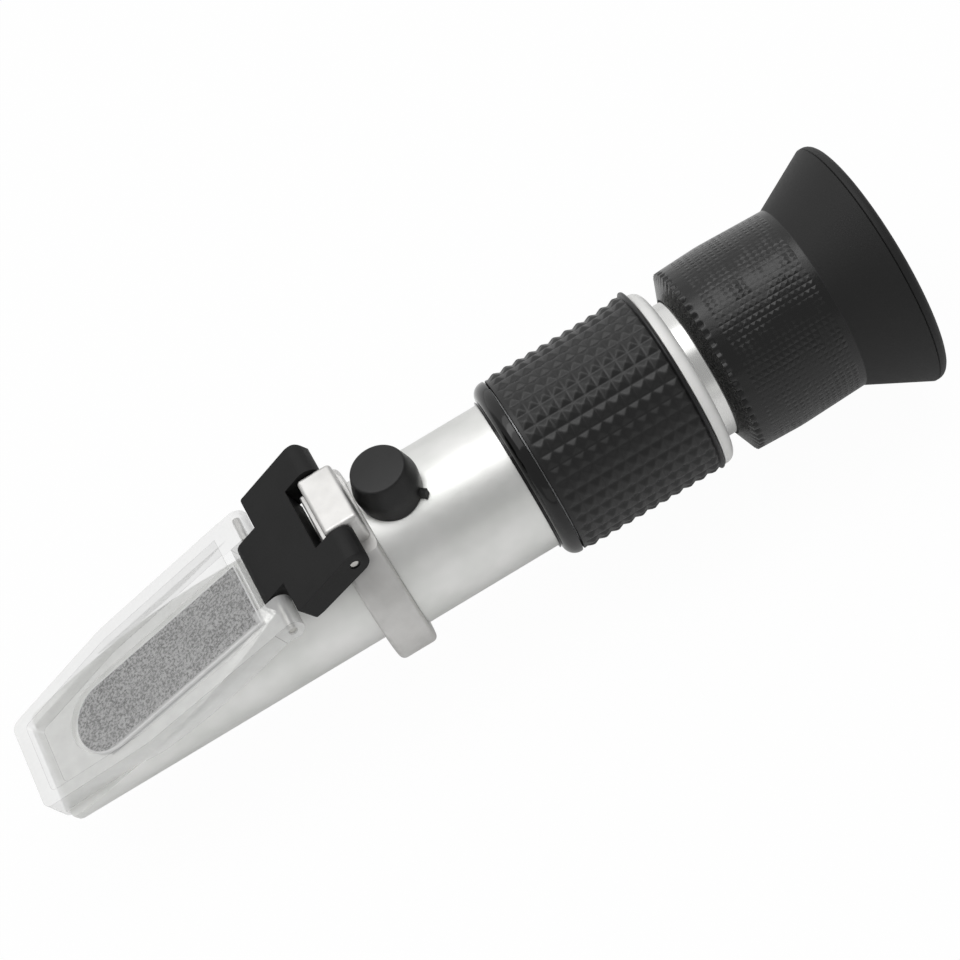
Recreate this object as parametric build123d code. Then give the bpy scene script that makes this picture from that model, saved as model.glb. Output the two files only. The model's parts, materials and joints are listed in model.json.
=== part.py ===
from build123d import *

import os
from math import asin, atan2, cos, degrees, hypot, radians, sin, sqrt, tan

# Hand refractometer, millimetres.
# The optical axis runs along X: the prism end is at -X, the eyecup at +X, and the cover faces +Z.
# A station is a distance along that axis, counted from the front face of the hinge collar.
# A height or a radius is counted from the axis, until place() lifts the piece into the part's frame.

# Fits
SLIP = 0.05             # between pieces that are put together and stay so
RUN = 0.08              # radial play of what turns or slides
SEAT_GAP = 0.15         # between the closed cover and the face it lies on
HINGE_GAP = 0.30        # beside a hinge knuckle or an ear
SEAM = 0.12             # dark line at each end of the rubber grip

# Rounds on turned pieces
ROUND_CONES = 3         # narrow cones that make up each round

# Prism housing
HOUSING_R = 10.97
HOUSING_LEN = 54.90
HOUSING_EDGE = 0.80
SPIGOT_LEN = 7.60       # part of the housing that goes into the tube
LIGHT_BORE_R = 6.50

# Measuring prism and its seal
PRISM_FRONT = -44.00
PRISM_REAR = -19.00
PRISM_HALF_WIDTH = 5.30
PRISM_DEPTH = 4.20      # underside, below the axis
SEAL_WIDTH = 0.90
SEAL_DEPTH = 1.10
BAFFLE_STATION = -8.00
BAFFLE_LEN = 1.50
BAFFLE_HOLE_R = 4.60

# Hinge collar
COLLAR_R = 15.34
COLLAR_LEN = 6.44
COLLAR_LIP = 1.40
COLLAR_EDGE = 0.90
LEDGE_HEIGHT = 13.00
FOOT_HALF_WIDTH = 4.00
BLOCK_FRONT = 0.36
BLOCK_LEN = 5.72
BLOCK_HALF_WIDTH = 5.85
BLOCK_HEIGHT = 19.00
BLOCK_EDGE = 0.35
LUG_REACH = 0.82
LUG_HALF_WIDTH = 4.80
LUG_HEIGHT = 16.70

# Barrel tube
TUBE_R = 12.50
TUBE_BORE_R = 10.60
TUBE_NECK_R = 11.70
TUBE_LEN = 26.10        # what shows from the collar to the end of the front ring
TUBE_TAIL_LEN = 6.40    # part of the tube that goes into the grip sleeve

# Calibration screw, its bush and its cap
SCREW_STATION = 11.89
SCREW_R = 1.20
SCREW_HEAD_R = 2.20
SCREW_HEAD_LEN = 1.50
SLOT_WIDTH = 0.50
SLOT_DEPTH = 0.80
BUSH_R = 2.60
BUSH_FLANGE_R = 3.40
BUSH_FLANGE_LEN = 1.50
SPOT_FACE_HEIGHT = 12.00
CAP_BASE_R = 4.95
CAP_BELLY_R = 5.28
CAP_BELLY_HEIGHT = 15.20
CAP_BELLY_ROUND = 4.00
CAP_TOP_R = 4.33
CAP_HEIGHT = 18.82
CAP_CEILING = 1.30
CAP_SADDLE_GAP = 0.15
CAP_EDGE = 0.45
CAP_TAB_REACH = 0.75
CAP_TAB_HALF_WIDTH = 0.55
CAP_TAB_LEN = 1.30
CAP_TAB_BEARING = -42.0  # degrees round the cap, 0 towards the eyecup

# Sliding objective
CARRIAGE_STATION = 8.90
CARRIAGE_LEN = 6.00
CARRIAGE_R = 9.20
CARRIAGE_LIP = 1.30
OBJECTIVE_R = 7.10
OBJECTIVE_EDGE = 1.40
OBJECTIVE_BULGE = 0.80
APERTURE_STEP = 1.00    # how far a lip or a ring reaches in over a lens
SCREW_PITCH = 0.30      # the carriage moves this far either way
TIP_GAP = 0.05
STRIP_HALF_WIDTH = 2.00
STRIP_THICK = 0.50
STRIP_LEN = 11.00
CLAMP_LEN = 3.00
CLAMP_HALF_WIDTH = 2.60
CLAMP_HEIGHT = 2.00

# Black ring ahead of the grip
FRONT_RING_R = 15.10
FRONT_RING_LEN = 2.90
FRONT_RING_ROUND = 2.45
FRONT_RING_EDGE = 0.30

# Grip
GRIP_LEN = 25.40
SLEEVE_R = 13.60
SLEEVE_BORE_R = 11.68
GRIP_R = 15.30
KNURL_DEPTH = 0.50
KNURL_TOP = 0.22        # flat left on each pyramid
KNURL_AROUND = 40
KNURL_ALONG = 11
GRIP_LIP_LEN = 1.10
GRIP_LIP_RISE = 0.15
SEAL_SECTION = 1.00     # width and height of the focusing barrel's seal

# Reticle
RETICLE_LEN = 2.40
RETICLE_R = 10.20
RETICLE_THICK = 1.40

# Bright ring behind the grip
REAR_RING_R = 15.00
REAR_RING_LEN = 2.10
REAR_RING_ROUND = 1.80
REAR_RING_EDGE = 0.15
REAR_SPIGOT_R = 12.60
REAR_SPIGOT_LEN = 3.00

# Focusing eyepiece
BARREL_R = 11.60
BARREL_WALL = 1.60
BARREL_SHOWN = 2.10     # bright barrel between the rear ring and the eyecup
BARREL_INSIDE = 14.60   # from the rear ring's back face to the barrel's front end
BARREL_IN_EYECUP = 18.10
FOCUS_IN = 1.50
FOCUS_OUT = 4.50
CELL_WALL = 1.12
CELL_FLANGE_LEN = 1.70
CELL_FLANGE_R = 11.45
KEY_R = 0.60
KEY_REACH = 12.90
KEY_SEAT = 1.60
LENS_EDGE = 1.80
LENS_BULGE = 1.20
FIELD_LENS_SETBACK = 2.20
SPACER_LEN = 27.50
RETAINER_LEN = 1.60

# Eyecup
EYECUP_BEVEL_LEN = 1.50
EYECUP_NOSE_R = 12.00
EYECUP_FRONT_R = 15.70
EYECUP_CROWN_R = 16.00
EYECUP_CROWN_STATION = 9.00
EYECUP_NECK_R = 15.60
EYECUP_BODY_LEN = 20.60
EYECUP_CONE_LEN = 9.70
EYECUP_RIM_R = 20.75
EYECUP_LIP_LEN = 1.80
EYECUP_LIP_ROUND = 0.85
EYECUP_WALL = 1.70
EYECUP_HOLE_R = 8.90
EYECUP_SHOULDER = 2.20

# Cover and its two hinges
BRACKET_PIN_STATION = 2.08
BRACKET_PIN_HEIGHT = 17.10
BRACKET_PIN_R = 0.75
EAR_R = 2.30
EAR_HALF_SPAN = 12.10
EAR_CORNER = 1.10
PLATE_PIN_STATION = -10.89
PLATE_PIN_HEIGHT = 11.13
PLATE_PIN_R = 0.60
KNUCKLE_R = 1.92
TONGUE_HALF_WIDTH = 6.00
TONGUE_CORNER = 0.80
SHOULDER_REACH = 10.85  # from the bracket pin to the bracket's shoulders
SHOULDER_CORNER = 0.40
SLOT_REACH = 3.84       # from the bracket pin to the front wall of the bracket's slot
BRACKET_RELIEF = 0.30   # the bracket's underside over the housing's sloping face
PIN_RECESS = 0.08

COVER_SLOPE = 15.6      # degrees, fall of the cover towards the front
COVER_LEN = 48.00       # from the plate pin to the front edge
COVER_THICK = 3.30
COVER_REAR_GAP = 0.25
COVER_FRONT_HALF = 8.55
COVER_KNEE = 27.80      # from the plate pin to where the sides turn in
COVER_KNEE_HALF = 11.80
COVER_REAR_HALF = 12.20
COVER_CORNER = 1.60
COVER_KNEE_ROUND = 14.00
RIM_WIDTH = 2.20
RIM_DRAFT = 1.50        # how far the inner wall of the rim runs in on its way down
TRAY_DEPTH = 2.00
TRAY_REAR_WALL = 1.70
TRAY_CORNER = 1.00
CROSS_RIB_WIDTH = 0.45
CROSS_RIB_HEIGHT = 0.50
LIP_DEPTH = 1.50        # the cover's front lip, below its seat
LIP_CLEARANCE = 0.25
FLANGE_DROP = 1.25
FLANGE_FRONT = 33.00
FLANGE_REAR = 3.50
PAD_HALF_WIDTH = 5.87
PAD_REAR = 4.30         # from the plate pin to the rear end of the frosted pad
PAD_STRAIGHT_END = 33.50
PAD_THICK = 0.50

# Places that follow from the sizes above
SLOPE = radians(COVER_SLOPE)
COVER_SEAT = KNUCKLE_R - COVER_THICK                 # along the cover's normal, from the plate pin
PRISM_FACE = COVER_SEAT - SEAT_GAP
RING_STATION = COLLAR_LEN + TUBE_LEN - FRONT_RING_LEN
GRIP_STATION = COLLAR_LEN + TUBE_LEN
TAIL_END = GRIP_STATION + TUBE_TAIL_LEN
REAR_RING_STATION = GRIP_STATION + GRIP_LEN
REAR_RING_END = REAR_RING_STATION + REAR_RING_LEN
EYECUP_STATION = REAR_RING_END + BARREL_SHOWN
EYECUP_BODY_END = EYECUP_STATION + EYECUP_BODY_LEN
EYECUP_CONE_END = EYECUP_BODY_END + EYECUP_CONE_LEN
EYECUP_END = EYECUP_CONE_END + EYECUP_LIP_LEN
BARREL_FRONT = REAR_RING_END - BARREL_INSIDE
BARREL_BACK = EYECUP_STATION + BARREL_IN_EYECUP
BARREL_BORE_R = BARREL_R - BARREL_WALL
CELL_R = BARREL_BORE_R - RUN
CELL_BORE_R = CELL_R - CELL_WALL
CELL_FRONT = BARREL_FRONT - SLIP - CELL_FLANGE_LEN
CELL_BACK = BARREL_BACK - SLIP
FOOT_HEIGHT = -sqrt(COLLAR_R ** 2 - FOOT_HALF_WIDTH ** 2)
BUSH_TOP = SPOT_FACE_HEIGHT + BUSH_FLANGE_LEN
SCREW_TIP = CARRIAGE_R + SCREW_PITCH + TIP_GAP
COVER_FRONT_STATION = PLATE_PIN_STATION - COVER_LEN * cos(SLOPE) - KNUCKLE_R * sin(SLOPE)

# The part's origin is under the middle of its length
X_SHIFT = -(COVER_FRONT_STATION + EYECUP_END) / 2
AXIS_HEIGHT = EYECUP_RIM_R


def place(shape):
    """Moves a piece from stations and heights into the part's frame."""
    return Pos(X_SHIFT, 0, AXIS_HEIGHT) * shape


def corner_arc(before, corner, after, radius):
    """Start, middle and end of the round at one corner of an outline."""
    here = Vector(*corner)
    back = (Vector(*before) - here).normalized()
    ahead = (Vector(*after) - here).normalized()
    half = radians(back.get_angle(ahead)) / 2
    centre = here + (back + ahead).normalized() * (radius / sin(half))
    reach = radius / tan(half)
    middle = centre + (here - centre).normalized() * radius
    return here + back * reach, middle, here + ahead * reach


def arc_chords(start, middle, end, chords):
    """A round stretch cut into equal chords."""
    arc = Edge.make_three_point_arc(start, middle, end)
    stops = [arc @ (step / chords) for step in range(chords + 1)]
    return [Edge.make_line(here, there) for here, there in zip(stops, stops[1:])]


def outline(points, chords=0):
    """Closed face through (x, y) or (x, y, corner radius) points, with rounds as arcs or as chords."""
    corners = [point[:2] for point in points]
    edges = []
    ends = []
    for index, point in enumerate(points):
        radius = point[2] if len(point) > 2 else 0
        if radius > 0:
            after = corners[(index + 1) % len(points)]
            start, middle, end = corner_arc(corners[index - 1], corners[index], after, radius)
            arc = Edge.make_three_point_arc(start, middle, end)
            edges += arc_chords(start, middle, end, chords) if chords else [arc]
        else:
            start = end = Vector(*corners[index])
        ends.append((start, end))
    for index, (start, _) in enumerate(ends):
        leaving = ends[index - 1][1]
        if (start - leaving).length > 1e-6:
            edges.append(Edge.make_line(leaving, start))
    return make_face(edges)


def turned(points):
    """Solid of revolution about the axis, from (station, radius) points, with narrow cones as rounds."""
    return revolve(outline(points, ROUND_CONES), axis=Axis.X)


def tube(start, end, outer, inner):
    """Plain ring about the optical axis."""
    return turned([(start, inner), (end, inner), (end, outer), (start, outer)])


def rod(start, end, radius):
    """Cylinder on the optical axis."""
    return turned([(start, 0), (end, 0), (end, radius), (start, radius)])


def side_slab(face, half_width):
    """Side profile drawn as (station, height), carried to both sides of the axis."""
    return extrude(Rot(90, 0, 0) * face, amount=half_width, both=True)


def block(start, end, half_width, low, high):
    """Box from stations, half width and heights."""
    return Pos((start + end) / 2, 0, (low + high) / 2) * Box(end - start, 2 * half_width, high - low)


def cross_pin(station, height, radius, half_length):
    """Cylinder across the axis."""
    return Pos(station, 0, height) * Rot(90, 0, 0) * Cylinder(radius, 2 * half_length)


def upright_pin(station, radius, low, high):
    """Cylinder standing square to the axis."""
    return Pos(station, 0, (low + high) / 2) * Cylinder(radius, high - low)


def lens(start, radius, edge, bulge):
    """Biconvex lens whose edge starts at a station, with a flat seat round both faces."""
    dome = radius - APERTURE_STEP
    curve = (dome ** 2 + bulge ** 2) / (2 * bulge)
    half = asin(dome / curve) / 2
    depth = curve - curve * cos(half) - bulge
    middle = curve * sin(half)
    end = start + edge
    front = arc_chords((start, dome), (start + depth, middle), (start - bulge, 0), ROUND_CONES)
    back = arc_chords((end + bulge, 0), (end - depth, middle), (end, dome), ROUND_CONES)
    axis = Edge.make_line((start - bulge, 0), (end + bulge, 0))
    rim = Polyline((end, dome), (end, radius), (start, radius), (start, dome))
    return revolve(make_face(front + [axis] + back + rim.edges()), axis=Axis.X)


def on_slope(shape):
    """Moves a shape drawn about the plate pin, with its normal up, onto the cover's slope."""
    return Pos(PLATE_PIN_STATION, 0, PLATE_PIN_HEIGHT) * Rot(0, -COVER_SLOPE, 0) * shape


def above_slope(level):
    """Everything above a plane parallel to the cover."""
    size = 4 * HOUSING_LEN
    return on_slope(Pos(0, 0, level + size / 2) * Box(size, size, size))


# Prism housing and what it holds


def prism_box(grow, bottom):
    """Upright box round the prism, from a level below the axis to above the sloping face."""
    half_width = PRISM_HALF_WIDTH + grow
    return block(PRISM_FRONT - grow, PRISM_REAR + grow, half_width, bottom, HOUSING_R)


def prism_housing():
    """Round housing with its sloping top, the prism's pocket and the light path."""
    body = turned([
        (-HOUSING_LEN, 0), (-HOUSING_LEN, HOUSING_R, HOUSING_EDGE), (0, HOUSING_R),
        (0, TUBE_BORE_R - SLIP), (SPIGOT_LEN, TUBE_BORE_R - SLIP), (SPIGOT_LEN, 0),
    ])
    pocket = prism_box(SLIP, -PRISM_DEPTH - SLIP)
    seal_seat = prism_box(SEAL_WIDTH + SLIP, -HOUSING_R) & above_slope(PRISM_FACE - SEAL_DEPTH - SLIP)
    light_path = rod(PRISM_REAR, SPIGOT_LEN + 1, LIGHT_BORE_R)
    return body - above_slope(PRISM_FACE) - pocket - seal_seat - light_path


def measuring_prism():
    """Glass wedge whose top lies in the housing's sloping face."""
    return prism_box(0, -PRISM_DEPTH) - above_slope(PRISM_FACE)


def prism_seal():
    """Rubber frame let into the sloping face round the prism."""
    frame = prism_box(SEAL_WIDTH, -HOUSING_R) - prism_box(SLIP, -HOUSING_R)
    return (frame & above_slope(PRISM_FACE - SEAL_DEPTH)) - above_slope(PRISM_FACE)


def light_baffle():
    """Field stop across the light path behind the prism."""
    return tube(BAFFLE_STATION, BAFFLE_STATION + BAFFLE_LEN, LIGHT_BORE_R - SLIP, BAFFLE_HOLE_R)


# Hinge collar and barrel tube


def hinge_collar():
    """Collar that clamps the housing to the tube and carries the cover's hinge block."""
    ring = turned([
        (0, TUBE_BORE_R), (COLLAR_LIP, TUBE_BORE_R), (COLLAR_LIP, TUBE_NECK_R + SLIP),
        (COLLAR_LEN, TUBE_NECK_R + SLIP), (COLLAR_LEN, COLLAR_R, COLLAR_EDGE), (0, COLLAR_R, COLLAR_EDGE),
    ])
    ring -= block(-1, COLLAR_LEN + 1, COLLAR_R, LEDGE_HEIGHT, BLOCK_HEIGHT)
    ring -= block(-1, COLLAR_LEN + 1, COLLAR_R, -COLLAR_R - 1, FOOT_HEIGHT)
    floor = TUBE_NECK_R + SLIP
    profile = outline([
        (BLOCK_FRONT, floor), (BLOCK_FRONT + BLOCK_LEN, floor),
        (BLOCK_FRONT + BLOCK_LEN, BLOCK_HEIGHT, BLOCK_EDGE), (BLOCK_FRONT, BLOCK_HEIGHT, BLOCK_EDGE),
    ])
    lug = block(BLOCK_FRONT - LUG_REACH, BLOCK_FRONT + 1, LUG_HALF_WIDTH, floor, LUG_HEIGHT)
    body = ring + side_slab(profile, BLOCK_HALF_WIDTH) + lug
    return body - bracket_pin_bore(RUN)


def barrel_tube():
    """Bright tube between the collar and the grip, with a neck and a tail for its neighbours."""
    body = turned([
        (COLLAR_LIP, TUBE_BORE_R), (TAIL_END, TUBE_BORE_R), (TAIL_END, SLEEVE_BORE_R - SLIP),
        (GRIP_STATION, SLEEVE_BORE_R - SLIP), (GRIP_STATION, TUBE_R), (COLLAR_LEN, TUBE_R),
        (COLLAR_LEN, TUBE_NECK_R), (COLLAR_LIP, TUBE_NECK_R),
    ])
    spot_face = upright_pin(SCREW_STATION, BUSH_FLANGE_R + SLIP, SPOT_FACE_HEIGHT, TUBE_R + 1)
    return body - spot_face - upright_pin(SCREW_STATION, BUSH_R + SLIP, 0, TUBE_R)


# Calibration screw, bush and cap


def screw_bush():
    """Flanged bush that carries the calibration screw in the tube's wall."""
    bush = upright_pin(SCREW_STATION, BUSH_R, TUBE_BORE_R, SPOT_FACE_HEIGHT)
    bush += upright_pin(SCREW_STATION, BUSH_FLANGE_R, SPOT_FACE_HEIGHT, BUSH_TOP)
    return bush - upright_pin(SCREW_STATION, SCREW_R + RUN, 0, BUSH_TOP + 1)


def calibration_screw():
    """Slotted screw that shifts the objective."""
    head_base = BUSH_TOP + SLIP
    head_top = head_base + SCREW_HEAD_LEN
    screw = upright_pin(SCREW_STATION, SCREW_R, SCREW_TIP, head_base)
    screw += upright_pin(SCREW_STATION, SCREW_HEAD_R, head_base, head_top)
    return screw - block(
        SCREW_STATION - SCREW_HEAD_R - 1, SCREW_STATION + SCREW_HEAD_R + 1,
        SLOT_WIDTH / 2, head_top - SLOT_DEPTH, head_top + 1,
    )


def screw_cap():
    """Soft cap that saddles the tube over the calibration screw, with its pull tab."""
    profile = outline([
        (0, 0), (CAP_BASE_R, 0), (CAP_BELLY_R, CAP_BELLY_HEIGHT - SPOT_FACE_HEIGHT, CAP_BELLY_ROUND),
        (CAP_TOP_R, CAP_HEIGHT - SPOT_FACE_HEIGHT, CAP_EDGE), (0, CAP_HEIGHT - SPOT_FACE_HEIGHT),
    ], ROUND_CONES)
    below = turned_upright(outline([(0, -3), (CAP_BASE_R, -3), (CAP_BASE_R, 0), (0, 0)]))
    cap = turned_upright(profile) + below
    tab = Pos(CAP_BASE_R + CAP_TAB_REACH / 2, 0, CAP_TAB_LEN / 2) * Box(
        2 * CAP_TAB_REACH, 2 * CAP_TAB_HALF_WIDTH, CAP_TAB_LEN
    )
    cap += Rot(0, 0, CAP_TAB_BEARING) * tab
    cap = Pos(SCREW_STATION, 0, SPOT_FACE_HEIGHT) * cap
    hollow = upright_pin(SCREW_STATION, BUSH_FLANGE_R + RUN, 0, CAP_HEIGHT - CAP_CEILING)
    saddle = rod(SCREW_STATION - 2 * CAP_BASE_R, SCREW_STATION + 2 * CAP_BASE_R, TUBE_R + CAP_SADDLE_GAP)
    return cap - hollow - saddle


def turned_upright(face):
    """Solid of revolution about an upright axis, from a face of radius and height."""
    return revolve(Rot(90, 0, 0) * face, axis=Axis.Z)


# Sliding objective


def lens_carriage():
    """Ring that carries the objective and that the calibration screw pushes."""
    start = CARRIAGE_STATION
    end = CARRIAGE_STATION + CARRIAGE_LEN
    seat = CARRIAGE_STATION + CARRIAGE_LIP
    return turned([
        (start, OBJECTIVE_R - APERTURE_STEP), (seat, OBJECTIVE_R - APERTURE_STEP),
        (seat, OBJECTIVE_R + SLIP), (end, OBJECTIVE_R + SLIP), (end, CARRIAGE_R), (start, CARRIAGE_R),
    ])


def objective_lens():
    """Biconvex objective."""
    return lens(CARRIAGE_STATION + CARRIAGE_LIP, OBJECTIVE_R, OBJECTIVE_EDGE, OBJECTIVE_BULGE)


def objective_retainer():
    """Ring that holds the objective in its carriage."""
    start = CARRIAGE_STATION + CARRIAGE_LIP + OBJECTIVE_EDGE
    return tube(start, start + APERTURE_STEP, OBJECTIVE_R, OBJECTIVE_R - APERTURE_STEP)


def bimetal_strip():
    """Two-metal leaf along the tube's floor, which moves the objective as it warms."""
    start = CARRIAGE_STATION
    return block(start, start + STRIP_LEN, STRIP_HALF_WIDTH, -CARRIAGE_R - STRIP_THICK, -CARRIAGE_R)


def strip_clamp():
    """Block on the tube's floor that the bimetal strip bears on."""
    start = CARRIAGE_STATION + STRIP_LEN + SEAT_GAP
    lump = block(start, start + CLAMP_LEN, CLAMP_HALF_WIDTH, -TUBE_BORE_R, CLAMP_HEIGHT - TUBE_BORE_R)
    return lump & rod(start - 1, start + CLAMP_LEN + 1, TUBE_BORE_R - SLIP)


# Grip


def front_ring():
    """Glossy ring ahead of the grip, with a broad round towards the front."""
    return turned([
        (RING_STATION, TUBE_R + SLIP), (GRIP_STATION, TUBE_R + SLIP),
        (GRIP_STATION, FRONT_RING_R, FRONT_RING_EDGE), (RING_STATION, FRONT_RING_R, FRONT_RING_ROUND),
    ])


def grip_sleeve():
    """Structural sleeve under the rubber, with a slot for the eyepiece's guide key."""
    bore = SLEEVE_BORE_R
    counterbore = REAR_SPIGOT_R + SLIP
    step = REAR_RING_STATION - REAR_SPIGOT_LEN
    body = turned([
        (GRIP_STATION, bore), (step, bore), (step, counterbore), (REAR_RING_STATION, counterbore),
        (REAR_RING_STATION, SLEEVE_R), (GRIP_STATION, SLEEVE_R),
    ])
    key = CELL_FRONT + CELL_FLANGE_LEN / 2
    reach = KEY_R + HINGE_GAP
    slot = block(key - FOCUS_IN - reach, key + FOCUS_OUT + reach, KEY_R + RUN, -KEY_REACH - SLIP, 0)
    return body - slot


def knurl_profile(start, end):
    """Teeth of the grip along the axis: (station, radius) points from one end to the other."""
    pitch = (end - start) / KNURL_ALONG
    valley = GRIP_R - KNURL_DEPTH
    points = [(start, valley)]
    for row in range(KNURL_ALONG):
        middle = start + (row + 0.5) * pitch
        points.append((middle - KNURL_TOP / 2, GRIP_R))
        points.append((middle + KNURL_TOP / 2, GRIP_R))
        points.append((start + (row + 1) * pitch, valley))
    return points


def knurl_cutter(start, end):
    """One V groove along the grip, drawn on top of it."""
    valley = GRIP_R - KNURL_DEPTH
    pitch = 2 * GRIP_R * tan(radians(180 / KNURL_AROUND))
    rise = KNURL_DEPTH + GRIP_LIP_RISE + 1
    half = (pitch - KNURL_TOP) / 2 * rise / KNURL_DEPTH
    face = Plane.YZ * outline([(0, valley), (half, valley + rise), (-half, valley + rise)])
    return Pos(start, 0, 0) * extrude(face, amount=end - start)


def knurl_section(station, radius):
    """Ring section of the grip with one flat for each row of pyramids."""
    ring = RegularPolygon(radius, KNURL_AROUND, major_radius=False, rotation=180 / KNURL_AROUND)
    return Pos(station, 0, 0) * (Plane.YZ * ring)


def rubber_grip():
    """Rubber sleeve knurled into square pyramids, with a plain lip at the eyepiece end."""
    start = GRIP_STATION + SEAM
    end = REAR_RING_STATION - SEAM
    knurl_end = end - GRIP_LIP_LEN
    rings = [knurl_section(station, radius) for station, radius in knurl_profile(start, knurl_end)]
    body = loft(rings, ruled=True)
    groove = knurl_cutter(start - 1, knurl_end + 1)
    pitch = 360 / KNURL_AROUND
    body -= [Rot(pitch * (turn + 0.5), 0, 0) * groove for turn in range(KNURL_AROUND)]
    body += tube(knurl_end, end, GRIP_R + GRIP_LIP_RISE, SLEEVE_R + SLIP)
    return body - rod(start - 1, end + 1, SLEEVE_R + SLIP)


def rear_ring():
    """Bright ring that closes the grip and guides the focusing barrel."""
    bore = BARREL_R + RUN
    groove = REAR_RING_STATION + REAR_RING_LEN / 2
    spigot = REAR_RING_STATION - REAR_SPIGOT_LEN + SLIP
    body = turned([
        (spigot, bore), (REAR_RING_END, bore), (REAR_RING_END, REAR_RING_R, REAR_RING_ROUND),
        (REAR_RING_STATION, REAR_RING_R, REAR_RING_EDGE), (REAR_RING_STATION, REAR_SPIGOT_R),
        (spigot, REAR_SPIGOT_R),
    ])
    half = SEAL_SECTION / 2 + SLIP
    return body - tube(groove - half, groove + half, bore + SEAL_SECTION + SLIP, bore / 2)


def focus_seal():
    """Square seal in the rear ring's groove, round the focusing barrel."""
    middle = REAR_RING_STATION + REAR_RING_LEN / 2
    bore = BARREL_R + RUN
    return tube(middle - SEAL_SECTION / 2, middle + SEAL_SECTION / 2, bore + SEAL_SECTION, bore)


# Reticle


def reticle_ring():
    """Ring in the sleeve that holds the scale against the tube's tail."""
    end = TAIL_END + RETICLE_LEN
    seat = TAIL_END + RETICLE_THICK + SLIP
    return turned([
        (TAIL_END, RETICLE_R + SLIP), (seat, RETICLE_R + SLIP), (seat, RETICLE_R - APERTURE_STEP),
        (end, RETICLE_R - APERTURE_STEP), (end, SLEEVE_BORE_R - SLIP), (TAIL_END, SLEEVE_BORE_R - SLIP),
    ])


def reticle_disc():
    """Glass disc with the scale."""
    return rod(TAIL_END + SLIP, TAIL_END + SLIP + RETICLE_THICK, RETICLE_R)


# Focusing eyepiece


def focus_barrel():
    """Bright barrel that runs in the rear ring and carries the eyecup."""
    return tube(BARREL_FRONT, BARREL_BACK, BARREL_R, BARREL_BORE_R)


def lens_cell():
    """Inner cell of the eyepiece, kept from turning by its key."""
    seat = CELL_FRONT + FIELD_LENS_SETBACK
    cell = turned([
        (CELL_FRONT, CELL_BORE_R - APERTURE_STEP), (seat, CELL_BORE_R - APERTURE_STEP), (seat, CELL_BORE_R),
        (CELL_BACK, CELL_BORE_R), (CELL_BACK, CELL_R), (CELL_FRONT + CELL_FLANGE_LEN, CELL_R),
        (CELL_FRONT + CELL_FLANGE_LEN, CELL_FLANGE_R), (CELL_FRONT, CELL_FLANGE_R),
    ])
    return cell - key_pin(KEY_R + SLIP, CELL_FLANGE_R - KEY_SEAT - SLIP)


def key_pin(radius, start):
    """Upright pin under the axis, at the middle of the cell's flange."""
    return upright_pin(CELL_FRONT + CELL_FLANGE_LEN / 2, radius, -KEY_REACH + SLIP, -start)


def guide_key():
    """Pin in the cell's flange that runs in the sleeve's slot."""
    return key_pin(KEY_R, CELL_FLANGE_R - KEY_SEAT)


def field_lens():
    """Lens at the front of the eyepiece."""
    return lens(CELL_FRONT + FIELD_LENS_SETBACK, CELL_BORE_R - SLIP, LENS_EDGE, LENS_BULGE)


def lens_spacer():
    """Tube that keeps the two eyepiece lenses apart."""
    start = CELL_FRONT + FIELD_LENS_SETBACK + LENS_EDGE
    return tube(start, start + SPACER_LEN, CELL_BORE_R - SLIP, CELL_BORE_R - APERTURE_STEP)


def eye_lens():
    """Lens next to the eye."""
    start = CELL_FRONT + FIELD_LENS_SETBACK + LENS_EDGE + SPACER_LEN
    return lens(start, CELL_BORE_R - SLIP, LENS_EDGE, LENS_BULGE)


def lens_retainer():
    """Ring that holds the eyepiece lenses in their cell."""
    start = CELL_FRONT + FIELD_LENS_SETBACK + 2 * LENS_EDGE + SPACER_LEN
    return tube(start, start + RETAINER_LEN, CELL_BORE_R - SLIP, CELL_BORE_R - APERTURE_STEP)


def eyecup():
    """Flared rubber cup with a bevel at its front."""
    start = EYECUP_STATION
    shoulder = BARREL_BACK + SLIP
    floor_end = shoulder + EYECUP_SHOULDER
    flare = hypot(EYECUP_CONE_LEN, EYECUP_RIM_R - EYECUP_NECK_R)
    inset = EYECUP_WALL * flare / EYECUP_CONE_LEN
    mouth_r = EYECUP_RIM_R - inset
    return turned([
        (start, BARREL_R + SLIP), (shoulder, BARREL_R + SLIP), (shoulder, EYECUP_HOLE_R),
        (floor_end, EYECUP_HOLE_R), (floor_end, EYECUP_NECK_R - inset, EYECUP_WALL),
        (EYECUP_CONE_END, mouth_r, EYECUP_WALL), (EYECUP_END, mouth_r, EYECUP_LIP_ROUND / 3),
        (EYECUP_END, EYECUP_RIM_R, EYECUP_LIP_ROUND), (EYECUP_CONE_END, EYECUP_RIM_R, EYECUP_LIP_ROUND),
        (EYECUP_BODY_END, EYECUP_NECK_R, EYECUP_WALL), (start + EYECUP_CROWN_STATION, EYECUP_CROWN_R),
        (start + EYECUP_BEVEL_LEN, EYECUP_FRONT_R), (start, EYECUP_NOSE_R),
    ])


# Cover bracket and its pins


def bracket_pin_bore(play):
    """The bracket pin's hole, with a chosen play."""
    return cross_pin(BRACKET_PIN_STATION, BRACKET_PIN_HEIGHT, BRACKET_PIN_R + play, EAR_HALF_SPAN + 1)


def plate_pin_bore(play):
    """The plate pin's hole, with a chosen play."""
    return cross_pin(PLATE_PIN_STATION, PLATE_PIN_HEIGHT, PLATE_PIN_R + play, EAR_HALF_SPAN + 1)


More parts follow.
